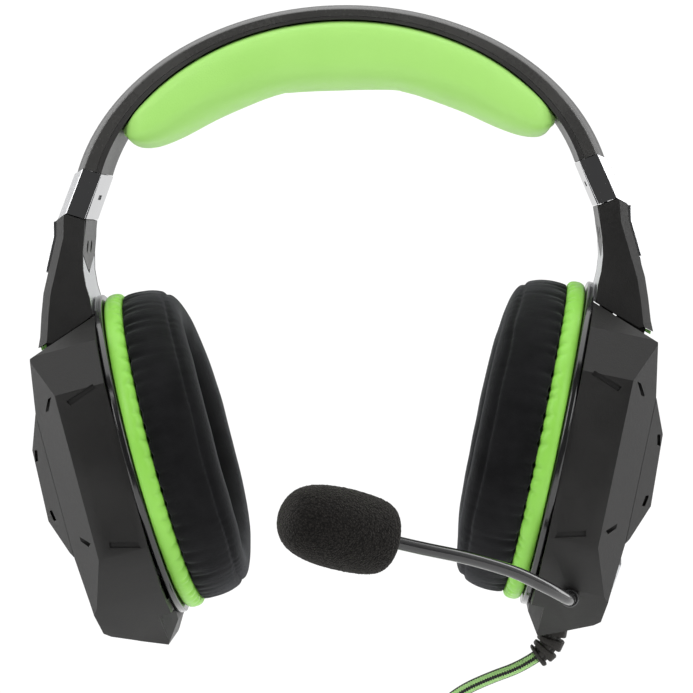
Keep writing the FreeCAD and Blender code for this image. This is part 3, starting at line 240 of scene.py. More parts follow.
cord_ctrl = ROUTE + coil_points() + tail_points()
cord_line = nurbs_line("cord_line", cord_ctrl, 10)
steps = np.linalg.norm(np.diff(cord_line, axis=0), axis=1)
cord_line = cord_line[np.r_[True, steps > 1e-4]]
cord_far = np.r_[0, np.cumsum(np.linalg.norm(np.diff(cord_line, axis=0), axis=1))]
CORD_LEN = cord_far[-1]
print("cord length mm", round(CORD_LEN, 1))
tan, sa, sb = frames_along(cord_line)
SIDES = 20
ring_a = np.linspace(0, 2 * math.pi, SIDES, endpoint=False)
cord_pts = (cord_line[:, None, :] + 2.0 * (np.cos(ring_a)[None, :, None] * sa[:, None, :]
                                           + np.sin(ring_a)[None, :, None] * sb[:, None, :]))
braid = grid("braided_cord", cord_pts, wrap_rows=False, wrap_cols=True, caps=True,
             uv=lambda i, j: (j / SIDES, cord_far[i]))


# ------------------------------------------------------------------ materials
def material(name, base, rough, metallic=0.0, **extra):
    m = bpy.data.materials.new(name)
    m.use_nodes = True
    nt = m.node_tree
    bsdf = nt.nodes["Principled BSDF"]
    bsdf.inputs["Base Color"].default_value = (*base, 1)
    bsdf.inputs["Roughness"].default_value = rough
    bsdf.inputs["Metallic"].default_value = metallic
    for k, v in extra.items():
        bsdf.inputs[k.replace("_", " ")].default_value = v
    m.diffuse_color = (*base, 1)
    return m, nt, bsdf


def node(nt, kind, **props):
    n = nt.nodes.new(kind)
    for k, v in props.items():
        if k in n.inputs:
            n.inputs[k].default_value = v
        else:
            setattr(n, k, v)
    return n


def coords(nt):
    return nt.nodes.new("ShaderNodeTexCoord").outputs["Object"]


def noise(nt, vec, scale, detail=3.0, rough=0.5):
    n = node(nt, "ShaderNodeTexNoise")
    n.inputs["Scale"].default_value = scale
    n.inputs["Detail"].default_value = detail
    n.inputs["Roughness"].default_value = rough
    nt.links.new(vec, n.inputs["Vector"])
    return n.outputs["Fac"]


def voronoi(nt, vec, scale, feature="F1", out="Distance"):
    n = node(nt, "ShaderNodeTexVoronoi", feature=feature)
    n.inputs["Scale"].default_value = scale
    nt.links.new(vec, n.inputs["Vector"])
    return n.outputs[out]


def spread(nt, value, lo, hi, to_lo, to_hi):
    n = node(nt, "ShaderNodeMapRange")
    n.inputs["From Min"].default_value, n.inputs["From Max"].default_value = lo, hi
    n.inputs["To Min"].default_value, n.inputs["To Max"].default_value = to_lo, to_hi
    nt.links.new(value, n.inputs["Value"])
    return n.outputs["Result"]


def blend_colour(nt, fac, c0, c1):
    n = node(nt, "ShaderNodeMix", data_type="RGBA")
    n.inputs[6].default_value, n.inputs[7].default_value = (*c0, 1), (*c1, 1)
    nt.links.new(fac, n.inputs[0])
    return n.outputs[2]


def mix_linked(nt, fac, a, b):
    n = node(nt, "ShaderNodeMix", data_type="RGBA")
    nt.links.new(fac, n.inputs[0])
    nt.links.new(a, n.inputs[6])
    nt.links.new(b, n.inputs[7])
    return n.outputs[2]


def maths(nt, op, a, b=None, c=None):
    n = node(nt, "ShaderNodeMath", operation=op)
    for k, v in enumerate((a, b, c)):
        if v is None:
            continue
        if isinstance(v, (int, float)):
            n.inputs[k].default_value = v
        else:
            nt.links.new(v, n.inputs[k])
    return n.outputs[0]


def bump(nt, bsdf, height, distance, strength=1.0, under=None):
    n = node(nt, "ShaderNodeBump")
    n.inputs["Strength"].default_value = strength
    n.inputs["Distance"].default_value = distance
    nt.links.new(height, n.inputs["Height"])
    if under is not None:
        nt.links.new(under, n.inputs["Normal"])
    nt.links.new(n.outputs["Normal"], bsdf.inputs["Normal"])
    return n.outputs["Normal"]


def moulded(name, base, rough, spark=0.6, coat=0.0, spec=0.5, wear=0.25):
    """Moulded plastic: spark-eroded grain, faint cloudy variation of colour and gloss."""
    m, nt, bsdf = material(name, base, rough, Specular_IOR_Level=spec, Coat_Weight=coat, Coat_Roughness=0.12)
    c = coords(nt)
    cloud = noise(nt, c, 38.0, 4.0)
    fine = noise(nt, c, 900.0, 2.0)
    lo = tuple(x * (1 - wear * 0.6) for x in base)
    hi = tuple(min(1, x * (1 + wear)) for x in base)
    nt.links.new(blend_colour(nt, spread(nt, cloud, 0.3, 0.7, 0, 1), lo, hi), bsdf.inputs["Base Color"])
    both = maths(nt, "MULTIPLY_ADD", fine, 0.35, maths(nt, "MULTIPLY", cloud, 0.65))
    nt.links.new(spread(nt, both, 0.3, 0.7, rough - 0.07, rough + 0.09), bsdf.inputs["Roughness"])
    grain = voronoi(nt, c, 2600.0)
    bump(nt, bsdf, maths(nt, "MULTIPLY_ADD", grain, 0.6, maths(nt, "MULTIPLY", fine, 0.8)), 0.00006, spark)
    return m


M = {}
M["satin_black"] = moulded("satin_black", (0.0125, 0.0120, 0.0115), 0.42, spark=0.45, spec=0.45)
M["band_black"] = moulded("band_black", (0.052, 0.051, 0.049), 0.26, spark=0.12, coat=0.45, spec=0.5)
M["dark_grey_plastic"] = moulded("dark_grey_plastic", (0.035, 0.034, 0.033), 0.34, spark=0.3)
M["gloss_black"] = moulded("gloss_black", (0.012, 0.012, 0.0125), 0.14, spark=0.04, coat=0.6, spec=0.55)
M["green_gloss"] = moulded("green_gloss", (0.33, 0.78, 0.17), 0.25, spark=0.1, coat=0.3)
M["relief_rubber"] = moulded("relief_rubber", (0.022, 0.020, 0.0175), 0.56, spark=0.9, spec=0.35)
M["tie_black"] = moulded("tie_black", (0.015, 0.015, 0.015), 0.6, spark=0.8, spec=0.3)
M["wire_black"] = moulded("wire_black", (0.02, 0.02, 0.02), 0.5, spark=0.2)
M["board_green"] = moulded("board_green", (0.02, 0.16, 0.06), 0.3, spark=0.1, coat=0.2)
M["diaphragm_film"] = moulded("diaphragm_film", (0.45, 0.44, 0.40), 0.2, spark=0.05, coat=0.4)


def plated(name, base, rough, streak=0.0, cloud=0.03, metallic=1.0):
    m, nt, bsdf = material(name, base, rough, metallic=metallic)
    c = coords(nt)
    v = noise(nt, c, 60.0, 4.0)
    if streak:
        mp = node(nt, "ShaderNodeMapping")
        mp.inputs["Scale"].default_value = (1.0, 0.04, 1.0)
        nt.links.new(c, mp.inputs["Vector"])
        s = noise(nt, mp.outputs["Vector"], 2400.0, 2.0)
        v = maths(nt, "MULTIPLY_ADD", s, streak, maths(nt, "MULTIPLY", v, 1 - streak))
        bump(nt, bsdf, s, 0.00002, 0.25)
    else:
        bump(nt, bsdf, noise(nt, c, 25.0, 2.0), 0.00025, 0.12)
    nt.links.new(spread(nt, v, 0.3, 0.7, max(0.02, rough - cloud), rough + cloud), bsdf.inputs["Roughness"])
    tint = blend_colour(nt, spread(nt, v, 0.3, 0.7, 0, 1), tuple(x * 0.93 for x in base), base)
    nt.links.new(tint, bsdf.inputs["Base Color"])
    return m


M["chrome"] = plated("chrome", (0.88, 0.885, 0.90), 0.07)
M["silver"] = plated("silver", (0.74, 0.75, 0.77), 0.32, cloud=0.06, metallic=0.85)
M["steel"] = plated("steel", (0.56, 0.57, 0.58), 0.30, streak=0.6, cloud=0.08)
M["driver_metal"] = plated("driver_metal", (0.10, 0.10, 0.105), 0.45, cloud=0.08, metallic=0.7)
M["gold"] = plated("gold", (0.93, 0.70, 0.30), 0.16, cloud=0.05)


def leather(name, base, shade, rough=0.40):
    """Smooth synthetic leather: a fine pebble grain, soft creases, a slightly deeper colour in soft random patches."""
    m, nt, bsdf = material(name, base, rough, Specular_IOR_Level=0.42)
    c = coords(nt)
    warp = noise(nt, c, 420.0, 3.0)
    cell = voronoi(nt, c, 1150.0, "DISTANCE_TO_EDGE")
    big = noise(nt, c, 24.0, 3.0)
    nt.links.new(blend_colour(nt, spread(nt, big, 0.32, 0.68, 0, 1), shade, base), bsdf.inputs["Base Color"])
    nt.links.new(spread(nt, warp, 0.3, 0.7, rough - 0.05, rough + 0.08), bsdf.inputs["Roughness"])
    h = maths(nt, "MULTIPLY_ADD", spread(nt, cell, 0.0, 0.25, 0, 1), 0.5, maths(nt, "MULTIPLY", warp, 0.7))
    bump(nt, bsdf, h, 0.00007, 0.5)
    return m


M["pad_green"] = leather("pad_green", (0.48, 0.91, 0.220), (0.445, 0.875, 0.195))
M["ring_green"] = leather("ring_green", (0.330, 0.76, 0.105), (0.300, 0.72, 0.090), 0.36)


def velour(name):
    m, nt, bsdf = material(name, (0.008, 0.008, 0.009), 0.95, Sheen_Weight=0.32, Sheen_Roughness=0.42,
                           Specular_IOR_Level=0.15)
    bsdf.inputs["Sheen Tint"].default_value = (0.55, 0.56, 0.60, 1)
    c = coords(nt)
    pile = noise(nt, c, 2200.0, 3.0, 0.7)
    nap = noise(nt, c, 120.0, 4.0, 0.6)
    brush = noise(nt, c, 34.0, 3.0, 0.55)
    f = maths(nt, "MULTIPLY_ADD", brush, 0.5, maths(nt, "MULTIPLY", nap, 0.5))
    nt.links.new(blend_colour(nt, spread(nt, f, 0.36, 0.64, 0, 1), (0.0045, 0.0045, 0.005), (0.0125, 0.0125, 0.0135)),
                 bsdf.inputs["Base Color"])
    h = maths(nt, "MULTIPLY_ADD", pile, 0.8, maths(nt, "MULTIPLY", nap, 0.5))
    bump(nt, bsdf, h, 0.0004, 0.7)
    return m


M["velour_black"] = velour("velour_black")


def foam(name):
    m, nt, bsdf = material(name, (0.012, 0.011, 0.010), 0.95, Specular_IOR_Level=0.2, Sheen_Weight=0.15)
    bsdf.inputs["Sheen Tint"].default_value = (0.5, 0.48, 0.45, 1)
    c = coords(nt)
    cells = voronoi(nt, c, 1500.0)
    small = voronoi(nt, c, 2900.0)
    h = maths(nt, "MULTIPLY_ADD", cells, 0.7, maths(nt, "MULTIPLY", small, 0.4))
    # painted shade: the colour is darker where the bump is low, between the raised cells, and lighter on the cells'
    # tops
    nt.links.new(blend_colour(nt, spread(nt, cells, 0.1, 0.7, 0, 1), (0.020, 0.018, 0.016), (0.004, 0.0036, 0.0032)),
                 bsdf.inputs["Base Color"])
    inv = maths(nt, "SUBTRACT", 1.0, h)
    bump(nt, bsdf, inv, 0.0005, 0.9)
    return m


M["foam_black"] = foam("foam_black")


def braid_material(name):
    """Braided sleeve from the cord's own lengths: green strands with black zigzag strands between; each strand is
    painted lighter along its crest and darker at its edges, a painted highlight and painted shade.
    """
    m, nt, bsdf = material(name, (0.40, 0.83, 0.22), 0.55, Sheen_Weight=0.2, Specular_IOR_Level=0.3)
    uv = node(nt, "ShaderNodeUVMap", uv_map="UVMap").outputs["UV"]
    xyz = node(nt, "ShaderNodeSeparateXYZ")
    nt.links.new(uv, xyz.inputs[0])
    round_, along = xyz.outputs[0], xyz.outputs[1]
    tooth = maths(nt, "PINGPONG", along, 0.42)                       # 0..0.42 mm, every 0.84 mm
    saw = maths(nt, "MULTIPLY", tooth, 0.16 / 0.42)
    band = maths(nt, "FRACT", maths(nt, "MULTIPLY", round_, 5.0))
    off = maths(nt, "ABSOLUTE", maths(nt, "SUBTRACT", band, 0.5))
    edge = maths(nt, "ADD", 0.14, saw)
    dark = maths(nt, "LESS_THAN", off, edge)
    strand = maths(nt, "FRACT", maths(nt, "ADD", maths(nt, "MULTIPLY", along, 1 / 0.42),
                                      maths(nt, "MULTIPLY", round_, 20.0)))
    ridge = maths(nt, "SINE", maths(nt, "MULTIPLY", strand, math.pi))
    fibre = noise(nt, coords(nt), 3800.0, 2.0)
    # painted light and shade: both strand colours follow the bump's ridge, lighter on each strand's crest and darker
    # at its edges
    green = blend_colour(nt, maths(nt, "MULTIPLY_ADD", ridge, 0.8, maths(nt, "MULTIPLY", fibre, 0.3)),
                         (0.27, 0.60, 0.13), (0.55, 0.93, 0.35))
    black = blend_colour(nt, ridge, (0.006, 0.007, 0.006), (0.022, 0.024, 0.021))
    nt.links.new(mix_linked(nt, dark, green, black), bsdf.inputs["Base Color"])
    bump(nt, bsdf, maths(nt, "MULTIPLY_ADD", ridge, 1.0, maths(nt, "MULTIPLY", fibre, 0.4)), 0.00022, 0.8)
    return m


M["braid_green"] = braid_material("braid_green")


def dress_with(ob, key):
    ob.data.materials.clear()
    ob.data.materials.append(M[key])


def finish_piece(ob, key, body):
    dress_with(ob, key)
    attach(ob, body)


# the CAD nodes' own materials, by their record slot
slot_of = {p["node"]: p["material_slot"] for p in frame["record"]["subparts"]}
for name, ob in NODES.items():
    key = slot_of.get(name, "satin_black")
    if name == "headband_outer_shell":
        key = "band_black"
    if ob.data.materials:
        for k in range(len(ob.data.materials)):
            ob.data.materials[k] = M[key]
    else:
        ob.data.materials.append(M[key])


def soften(name, width, angle=24.0, flat=0.8):
    """Small moulded radii on a CAD node: flat faces merged, sharp edges rounded."""
    ob = NODES[name]
    w = ob.modifiers.new("weld", "WELD")
    w.merge_threshold = 0.00002
    d = ob.modifiers.new("flat", "DECIMATE")
    d.decimate_type = "DISSOLVE"
    d.angle_limit = math.radians(flat)
    b = ob.modifiers.new("edges", "BEVEL")
    b.width = width * MM
    b.segments = 3
    b.limit_method = "ANGLE"
    b.angle_limit = math.radians(angle)
    b.use_clamp_overlap = True
    b.miter_outer = "MITER_ARC"
    n = ob.modifiers.new("normals", "WEIGHTED_NORMAL")
    n.keep_sharp = False
    n.weight = 80


for s in ("left", "right"):
    soften(s + "_cup_shell", 0.55)
    soften(s + "_cup_cap", 0.5)
    soften(s + "_arm_shell", 0.5)
    soften(s + "_arm_inner_cover", 0.4)
    soften(s + "_arm_outer_trim", 0.25)
    soften(s + "_arm_inner_trim", 0.25)
    soften(s + "_cup_silver_plate", 0.3)
soften("headband_outer_shell", 0.6)
soften("headband_inner_shell", 0.4)

# ------------------------------------------------------------------ the cups' own frame
CT, ST = math.cos(math.radians(13.3)), math.sin(math.radians(13.3))


def from_cup(side, u, y, v):
    k = 1.0 if side == "left" else -1.0
    u, y, v = np.broadcast_arrays(np.asarray(u, float), np.asarray(y, float), np.asarray(v, float))
    return np.stack([k * (63.0 + u * CT + v * ST), y, -115.0 - u * ST + v * CT], -1)


def creases(seed, count, theta):
    """Irregular places round a ring where the cloth is caught in: depth, and how wide each bulge is."""
    rng = np.random.default_rng(seed)
    at = (np.arange(count) + rng.uniform(-0.28, 0.28, count)) / count * 2 * math.pi
    deep = rng.uniform(0.45, 1.0, count)
    long_ = rng.uniform(0.6, 1.5, count)
    d = (theta[:, None] - at[None, :] + math.pi) % (2 * math.pi) - math.pi
    near = np.abs(d).argmin(1)
    gap = 2 * math.pi / count
    dist = np.abs(d[np.arange(len(theta)), near]) / gap
    return dist, deep[near], long_[near]


def lumps(seed, theta, orders, amp):
    rng = np.random.default_rng(seed)
    out = np.zeros_like(theta)
    for o in orders:
        out += rng.uniform(0.4, 1.0) * np.sin(o * theta + rng.uniform(0, 6.28))
    return out * amp / math.sqrt(len(orders))


def inflate(ob, hold, cap, pressure=4.0, stiff=12.0):
    """Cloth under a little air pressure; the held points stay, the others move at most cap (mm)."""
    me = ob.data
    n = len(me.vertices)
    start = np.empty(n * 3)
    me.vertices.foreach_get("co", start)
    start = start.reshape(-1, 3)
    vg = ob.vertex_groups.new(name="held")
    vg.add([int(i) for i in np.nonzero(hold)[0]], 1.0, "REPLACE")
    md = ob.modifiers.new("cloth", "CLOTH")
    cs = md.settings
    cs.quality = 5
    cs.mass = 0.15
    cs.tension_stiffness = cs.compression_stiffness = stiff
    cs.shear_stiffness = 4.0
    cs.bending_stiffness = 0.6
    cs.use_pressure = True
    cs.uniform_pressure_force = pressure
    cs.effector_weights.gravity = 0.0
    cs.vertex_group_mass = "held"
    md.collision_settings.use_collision = False
    md.point_cache.frame_start, md.point_cache.frame_end = 1, 20
    for f in range(1, 21):
        SCENE.frame_set(f)
    ev = ob.evaluated_get(bpy.context.evaluated_depsgraph_get())
    moved = np.empty(n * 3)
    ev.data.vertices.foreach_get("co", moved)
    moved = moved.reshape(-1, 3)
    ob.modifiers.remove(md)
    ob.vertex_groups.clear()
    SCENE.frame_set(1)
    d = moved - start
    far = np.linalg.norm(d, axis=1)
    print(ob.name, "cloth moved mm: median %.2f, most %.2f" % (np.median(far) / MM, far.max() / MM))
    lim = cap * MM
    # a soft cap: nothing moves further than cap, and the order of small and large moves is kept
    scale = np.where(far > 1e-9, lim * np.tanh(far / lim) / np.maximum(far, 1e-9), 0.0)
    me.vertices.foreach_set("co", (start + d * scale[:, None]).ravel())
    me.update()


def positions(ob):
    p = np.empty(len(ob.data.vertices) * 3)
    ob.data.vertices.foreach_get("co", p)
    return p.reshape(-1, 3)


def normals(ob):
    p = np.empty(len(ob.data.vertices) * 3)
    ob.data.vertex_normals.foreach_get("vector", p)
    return p.reshape(-1, 3)


def set_positions(ob, p):
    ob.data.vertices.foreach_set("co", p.ravel())
    ob.data.update()


def subsurf(ob, levels=1):
    m = ob.modifiers.new("smooth", "SUBSURF")
    m.levels = m.render_levels = levels


# ------------------------------------------------------------------ ear cushions: velour over foam
SECTION = [(0.945, -3.15), (0.985, -4.6), (1.0, -7.5), (0.995, -10.5), (0.965, -14.0), (0.895, -17.6),
           (0.785, -20.4), (0.65, -22.0), (0.50, -22.6), (0.36, -22.2), (0.23, -21.0), (0.12, -18.8),
           (0.05, -15.4), (0.02, -11.0), (0.03, -7.0), (0.06, -4.2), (0.12, -3.15), (0.4, -3.1), (0.7, -3.1)]
N_T, N_S = 420, 64


def ear_cushion(side, seed):
    theta = np.linspace(0, 2 * math.pi, N_T, endpoint=False)
    sec = spline_through(SECTION, N_S, closed=True)
    f, u = sec[:, 0][None, :], sec[:, 1][None, :]
    y = (25.0 + 18.0 * f) * np.cos(theta)[:, None]
    v = (33.0 + 17.75 * f) * np.sin(theta)[:, None]
    # the face is domed: a little thinner over the top and the bottom of the ear
    thin = 1.0 - 0.13 * np.abs(np.sin(theta))[:, None] ** 4
    ob = grid(side + "_velour_cushion", from_cup(side, -3.1 + (u + 3.1) * thin, y, v))
    inflate(ob, np.tile((sec[:, 1] > -3.9), N_T), 1.4)
    # gathers where the cloth is sewn to the ring, and a seam round the face
    P, N = positions(ob).reshape(N_T, N_S, 3), normals(ob).reshape(N_T, N_S, 3)
    ff, uu = sec[:, 0][None, :], sec[:, 1][None, :]
    d1, deep1, long1 = creases(seed, 64, theta)
    outer = (ff > 0.5) & (uu < -3.0)
    depth = np.abs(uu) - 3.1
    fade = np.exp(-depth / (3.3 * long1[:, None]))
    valley = -0.85 * deep1[:, None] * np.exp(-(d1[:, None] / 0.16) ** 2)
    crown = 0.35 * np.cos(np.minimum(d1[:, None], 0.5) * 2 * math.pi + math.pi) * deep1[:, None]
    disp = (valley + crown) * fade * outer
    # face seam, with small puckers at both sides
    seam = float(np.argmin(np.abs(sec[:, 0] - 0.865) + 10 * (sec[:, 1] > -14)))
    run = np.linalg.norm(np.diff(np.c_[sec[:, 0] * 18.0, sec[:, 1]], axis=0), axis=1)
    far = np.r_[0, np.cumsum(run)]
    wob = lumps(seed + 7, theta, (3, 5, 9, 14), 0.25)[:, None]
    away = np.abs(far[None, :] - far[int(seam)] + wob)
    d2, deep2, _ = creases(seed + 1, 92, theta)
    disp = disp - 0.75 * np.exp(-(away / 0.75) ** 2)
    disp = disp - 0.22 * deep2[:, None] * np.exp(-(d2[:, None] / 0.2) ** 2) * np.exp(-away / 2.4)
    # inner seam at the ear hole's base
    inner = (ff < 0.3) & (uu < -3.0)
    disp = disp + (-0.6 * deep1[:, None] * np.exp(-(d1[:, None] / 0.2) ** 2)) * np.exp(-depth / 3.0) * inner
    # soft unevenness of the filling
    soft = (lumps(seed + 2, theta, (2, 3, 5, 7), 0.30)[:, None] * np.sin(far / far[-1] * 2 * math.pi)[None, :]
            + lumps(seed + 3, theta, (9, 13, 17, 22), 0.12)[:, None] * np.cos(far / far[-1] * 4 * math.pi)[None, :])
    disp = disp + soft * (uu < -4.5)
    set_positions(ob, (P + N * disp[..., None] * MM).reshape(-1, 3))
    subsurf(ob)
    finish_piece(ob, "velour_black", side + "_cup")
    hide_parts(side + "_ear_cushion")
    return ob


ear_cushion("left", 11)
ear_cushion("right", 47)

# ------------------------------------------------------------------ green rings round the cushions' bases
RING = [(-6.0, 2.6), (-2.0, 2.75), (1.0, 2.75), (2.35, 2.2), (3.0, 1.1), (3.15, -0.3), (2.9, -1.6), (2.1, -2.6),
        (0.9, -3.0), (-2.0, -2.85), (-6.0, -2.7)]


def cushion_ring(side, seed):
    n_t, n_s = 840, 30
    theta = np.linspace(0, 2 * math.pi, n_t, endpoint=False)
    sec = spline_through(RING, n_s, closed=True)
    rho, u = sec[:, 0][None, :], sec[:, 1][None, :]
    d1, deep, long_ = creases(seed, 64, theta)
    pinch = np.exp(-(d1[:, None] / 0.14) ** 2) * deep[:, None]
    near = smooth(-u, -0.2, 2.8)
    bulge = 0.15 * np.cos(np.minimum(d1[:, None], 0.5) * 2 * math.pi + math.pi)
    r = rho + np.where(rho > 0, (bulge - 0.45 * pinch) * near, 0.0)
    uu = u + np.where(rho > 0, -(0.22 * np.sin(np.minimum(d1[:, None], 0.5) * math.pi)) * near + 0.18 * pinch * near, 0.0)
    faint, deep3, long3 = creases(seed + 5, 47, theta)
    r = r - 0.10 * np.exp(-(faint[:, None] / 0.1) ** 2) * deep3[:, None] * np.exp(-((u - 0.6) / 1.2) ** 2) * (rho > 0)
    r = r + lumps(seed + 9, theta, (3, 5, 8, 12), 0.10)[:, None] * (rho > 0)
    y = (41.0 + r) * np.cos(theta)[:, None]
    v = (49.0 + r) * np.sin(theta)[:, None]
    ob = grid(side + "_ring_cover", from_cup(side, uu + 0 * y, y, v))
    subsurf(ob)
    finish_piece(ob, "ring_green", side + "_cup")
    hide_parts(side + "_cushion_ring")
    return ob


cushion_ring("left", 11)
cushion_ring("right", 47)

# ------------------------------------------------------------------ head cushion
LOW = [(0, -0.1), (9, -0.15), (17.5, -0.7), (24, -2.2), (29, -3.9), (35, -6.2), (41, -8.8), (46.5, -11.7), (51, -14.0),
       (57, -16.4), (62, -17.3), (66, -16.5), (68.6, -13.8)]


def head_cushion():
    n_half, n_s = 110, 72
    low = spline_through(LOW, n_half)
    ph_end = math.acos(69.0 / 78.1)
    ph = np.linspace(math.pi / 2, ph_end, n_half)
    top = np.stack([78.1 * np.cos(ph), -40.5 + 61.5 * np.sin(ph)], 1)
    t = np.linspace(0, 1, n_half)
    width = 18.6 - 7.0 * np.clip((t - 0.86) / 0.14, 0, 1) ** 2.4
    low = np.r_[low[:0:-1] * (-1, 1), low]
    top = np.r_[top[:0:-1] * (-1, 1), top]
    width = np.r_[width[:0:-1], width]
    q = np.linspace(0, 2 * math.pi, n_s, endpoint=False) + math.pi / n_s
    c, s = np.cos(q), np.sin(q)
    p = np.where(s > 0, 3.0, 7.0)
    yy = np.sign(c) * np.abs(c) ** (2 / p)
    hh = 0.5 + 0.5 * np.sign(s) * np.abs(s) ** (2 / p)
    # the underside is crowned, and the front and back stand out a little in the middle of the height
    yy = yy * (0.985 + 0.03 * np.sin(np.clip(hh, 0, 1) * math.pi))
    pts = np.zeros((len(low), n_s, 3))
    for i in range(len(low)):
        a, b = top[i], low[i]
        x = a[0] + (b[0] - a[0]) * hh
        z = a[1] + (b[1] - a[1]) * hh
        pts[i, :, 0], pts[i, :, 1], pts[i, :, 2] = x, width[i] * yy, z
    ob = grid("head_cushion", pts, wrap_rows=False, caps=True)
    hold = np.tile(hh < 0.10, len(low))
    inflate(ob, hold, 0.8)
    subsurf(ob)
    finish_piece(ob, "pad_green", "headband")
    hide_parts("headband_cushion")
    return ob


head_cushion()

# ------------------------------------------------------------------ microphone windscreen
RX, RZ = 68.603, -162.154
FOAM_AT = np.array([RX - 58.0, -87.5, RZ + 25.4])
FOAM_AXIS = np.array([-0.8254647188664312, -0.4952788313198588, 0.2707524277881891])
FOAM = [(3.2, 2.6), (3.3, -0.6), (4.9, -2.4), (7.2, -3.0), (9.6, -2.2), (11.0, 0.4), (11.7, 4.5), (12.0, 9.5),
        (12.0, 14.5), (11.65, 19.5), (10.8, 24.0), (9.3, 27.8), (6.9, 30.4), (3.7, 31.8), (0.9, 32.1)]


def windscreen():
    n_t, n_s = 150, 120
    prof = spline_through(FOAM, n_s)
    th = np.linspace(0, 2 * math.pi, n_t, endpoint=False)
    ax = FOAM_AXIS / np.linalg.norm(FOAM_AXIS)
    e1 = np.cross(ax, (0, 0, 1.0))
    e1 /= np.linalg.norm(e1)
    e2 = np.cross(ax, e1)
    rng = np.random.default_rng(5)
    rough = rng.normal(0, 0.06, (n_s, n_t))
    rough[-4:] = 0
    r = prof[:, 0][:, None] + rough + 0.12 * np.sin(3 * th + 1.0)[None, :] * (prof[:, 0][:, None] > 6)
    h = prof[:, 1][:, None] + 0 * r
    pts = (FOAM_AT + h[..., None] * ax + r[..., None] * (np.cos(th)[None, :, None] * e1 + np.sin(th)[None, :, None] * e2))
    ob = grid("mic_windscreen", pts, wrap_rows=False, wrap_cols=True, caps=False)
    bm = bmesh.new()
    bm.from_mesh(ob.data)
    bm.verts.ensure_lookup_table()
    last = [bm.verts[(n_s - 1) * n_t + j] for j in range(n_t)]
    bm.faces.new(last)
    bmesh.ops.recalc_face_normals(bm, faces=bm.faces)
    bm.to_mesh(ob.data)
    bm.free()
    ob.data.polygons.foreach_set("use_smooth", [True] * len(ob.data.polygons))
    finish_piece(ob, "foam_black", "mic")
    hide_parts("mic_foam")


windscreen()


# ------------------------------------------------------------------ strain relief: a ribbed, slotted sleeve
def cup_xz(u, v):
    return (63.0 + u * CT + v * ST, -115.0 - u * ST + v * CT)


def relief():
    a0, a1 = cup_xz(15.6, -52.6), cup_xz(15.6, -58.4)
    ctrl = [(a0[0], 0, a0[1]), (a1[0], 0, a1[1]), (62.6, 0, -182.36), (58.6, 0, -184.9)]
    line = nurbs_line("relief_line", ctrl, 60)
    keep = np.r_[True, np.linalg.norm(np.diff(line, axis=0), axis=1) > 1e-5]
    line = line[keep]
    far = np.r_[0, np.cumsum(np.linalg.norm(np.diff(line, axis=0), axis=1))]
    tan, sa, sb = frames_along(line)
    L = far[-1]
    # stations: (distance, radius, squareness) round the rims of the ribs
    rows = [(0.0, 3.0, 0), (5.0, 3.0, 0)]
    ribs = [(5.7, 8.4, 4.35, 4.5), (9.4, 12.1, 4.5, 4.45), (13.1, 15.3, 4.4, 4.25), (16.2, L, 4.1, 3.95)]
    for a_, b_, ra, rb in ribs:
        rows += [(a_, 2.95, 0.2), (a_ + 0.02, ra - 0.35, 1), (a_ + 0.3, ra, 1), (b_ - 0.3, rb, 1),
                 (b_ - 0.02, rb - 0.35, 1), (b_, 2.95 if b_ < L else 2.1, 0.2)]
    n = 56
    th = np.linspace(0, 2 * math.pi, n, endpoint=False)
    c, s = np.cos(th), np.sin(th)
    sq = 1.0 / (np.abs(c) ** 5 + np.abs(s) ** 5) ** 0.2
    out = []
    for d, r, k in rows:
        p = np.array([np.interp(d, far, line[:, q]) for q in range(3)])
        A = np.array([np.interp(d, far, sa[:, q]) for q in range(3)])
        B = np.array([np.interp(d, far, sb[:, q]) for q in range(3)])
        rr = r * (1 + k * (sq - 1) * 0.55)
        # webs between the ribs at the front and the back
        if k < 0.5 and 5.2 < d < L - 0.1:
            rr = rr + 0.95 * np.exp(-((np.abs(c) - 1.0) / 0.05) ** 2)
        out.append(p + rr[:, None] * (c[:, None] * A + s[:, None] * B))
    ob = grid("cord_strain_relief", np.array(out), wrap_rows=False, caps=True)
    b = ob.modifiers.new("edges", "BEVEL")
    b.width, b.segments, b.limit_method, b.angle_limit = 0.00012, 2, "ANGLE", math.radians(40)
    finish_piece(ob, "relief_rubber", "left_cup")
    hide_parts("strain_relief")
    return ob


relief_ob = relief()

# ------------------------------------------------------------------ plug contacts' insulating rings
def plug_rings():
    x, y = TAIL
    z0 = COIL[2] - 52.0
    all_p, faces, off = [], [], 0
    n = 40
    th = np.linspace(0, 2 * math.pi, n, endpoint=False)
    verts = []
    for zc in (-3.6, -6.6, -9.4):
        prof = [(1.70, -0.35), (1.785, -0.28), (1.80, 0.0), (1.785, 0.28), (1.70, 0.35)]
        for r, h in prof:
            for q in th:
                verts.append(((x + r * math.cos(q)) * MM, (y + r * math.sin(q)) * MM, (z0 + zc + h) * MM))
        for i in range(len(prof) - 1):
            for j in range(n):
                faces.append((off + i * n + j, off + i * n + (j + 1) % n, off + (i + 1) * n + (j + 1) % n,
                              off + (i + 1) * n + j))
        off += n * len(prof)
    me = bpy.data.meshes.new("plug_rings")
    me.from_pydata(verts, [], faces)
    me.polygons.foreach_set("use_smooth", [True] * len(me.polygons))
    ob = link("plug_rings", me)
    finish_piece(ob, "wire_black", "left_cup")
    return ob


rings_ob = plug_rings()

# ------------------------------------------------------------------ the cord's place in the model
finish_piece(braid, "braid_green", "left_cup")
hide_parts("cord_tube", "cord_coil", "cord_tail")

# ------------------------------------------------------------------ floor and light
bpy.ops.mesh.primitive_plane_add(size=1.7, location=(0, 0, -0.375))
floor = bpy.context.object
floor.name = "floor"
fm, fnt, fb = material("floor_pale", (0.92, 0.92, 0.92), 0.9)
nt_n = noise(fnt, coords(fnt), 6.0, 3.0)
fnt.links.new(blend_colour(fnt, nt_n, (0.915, 0.915, 0.915), (0.935, 0.935, 0.935)), fb.inputs["Base Color"])
floor.data.materials.append(fm)

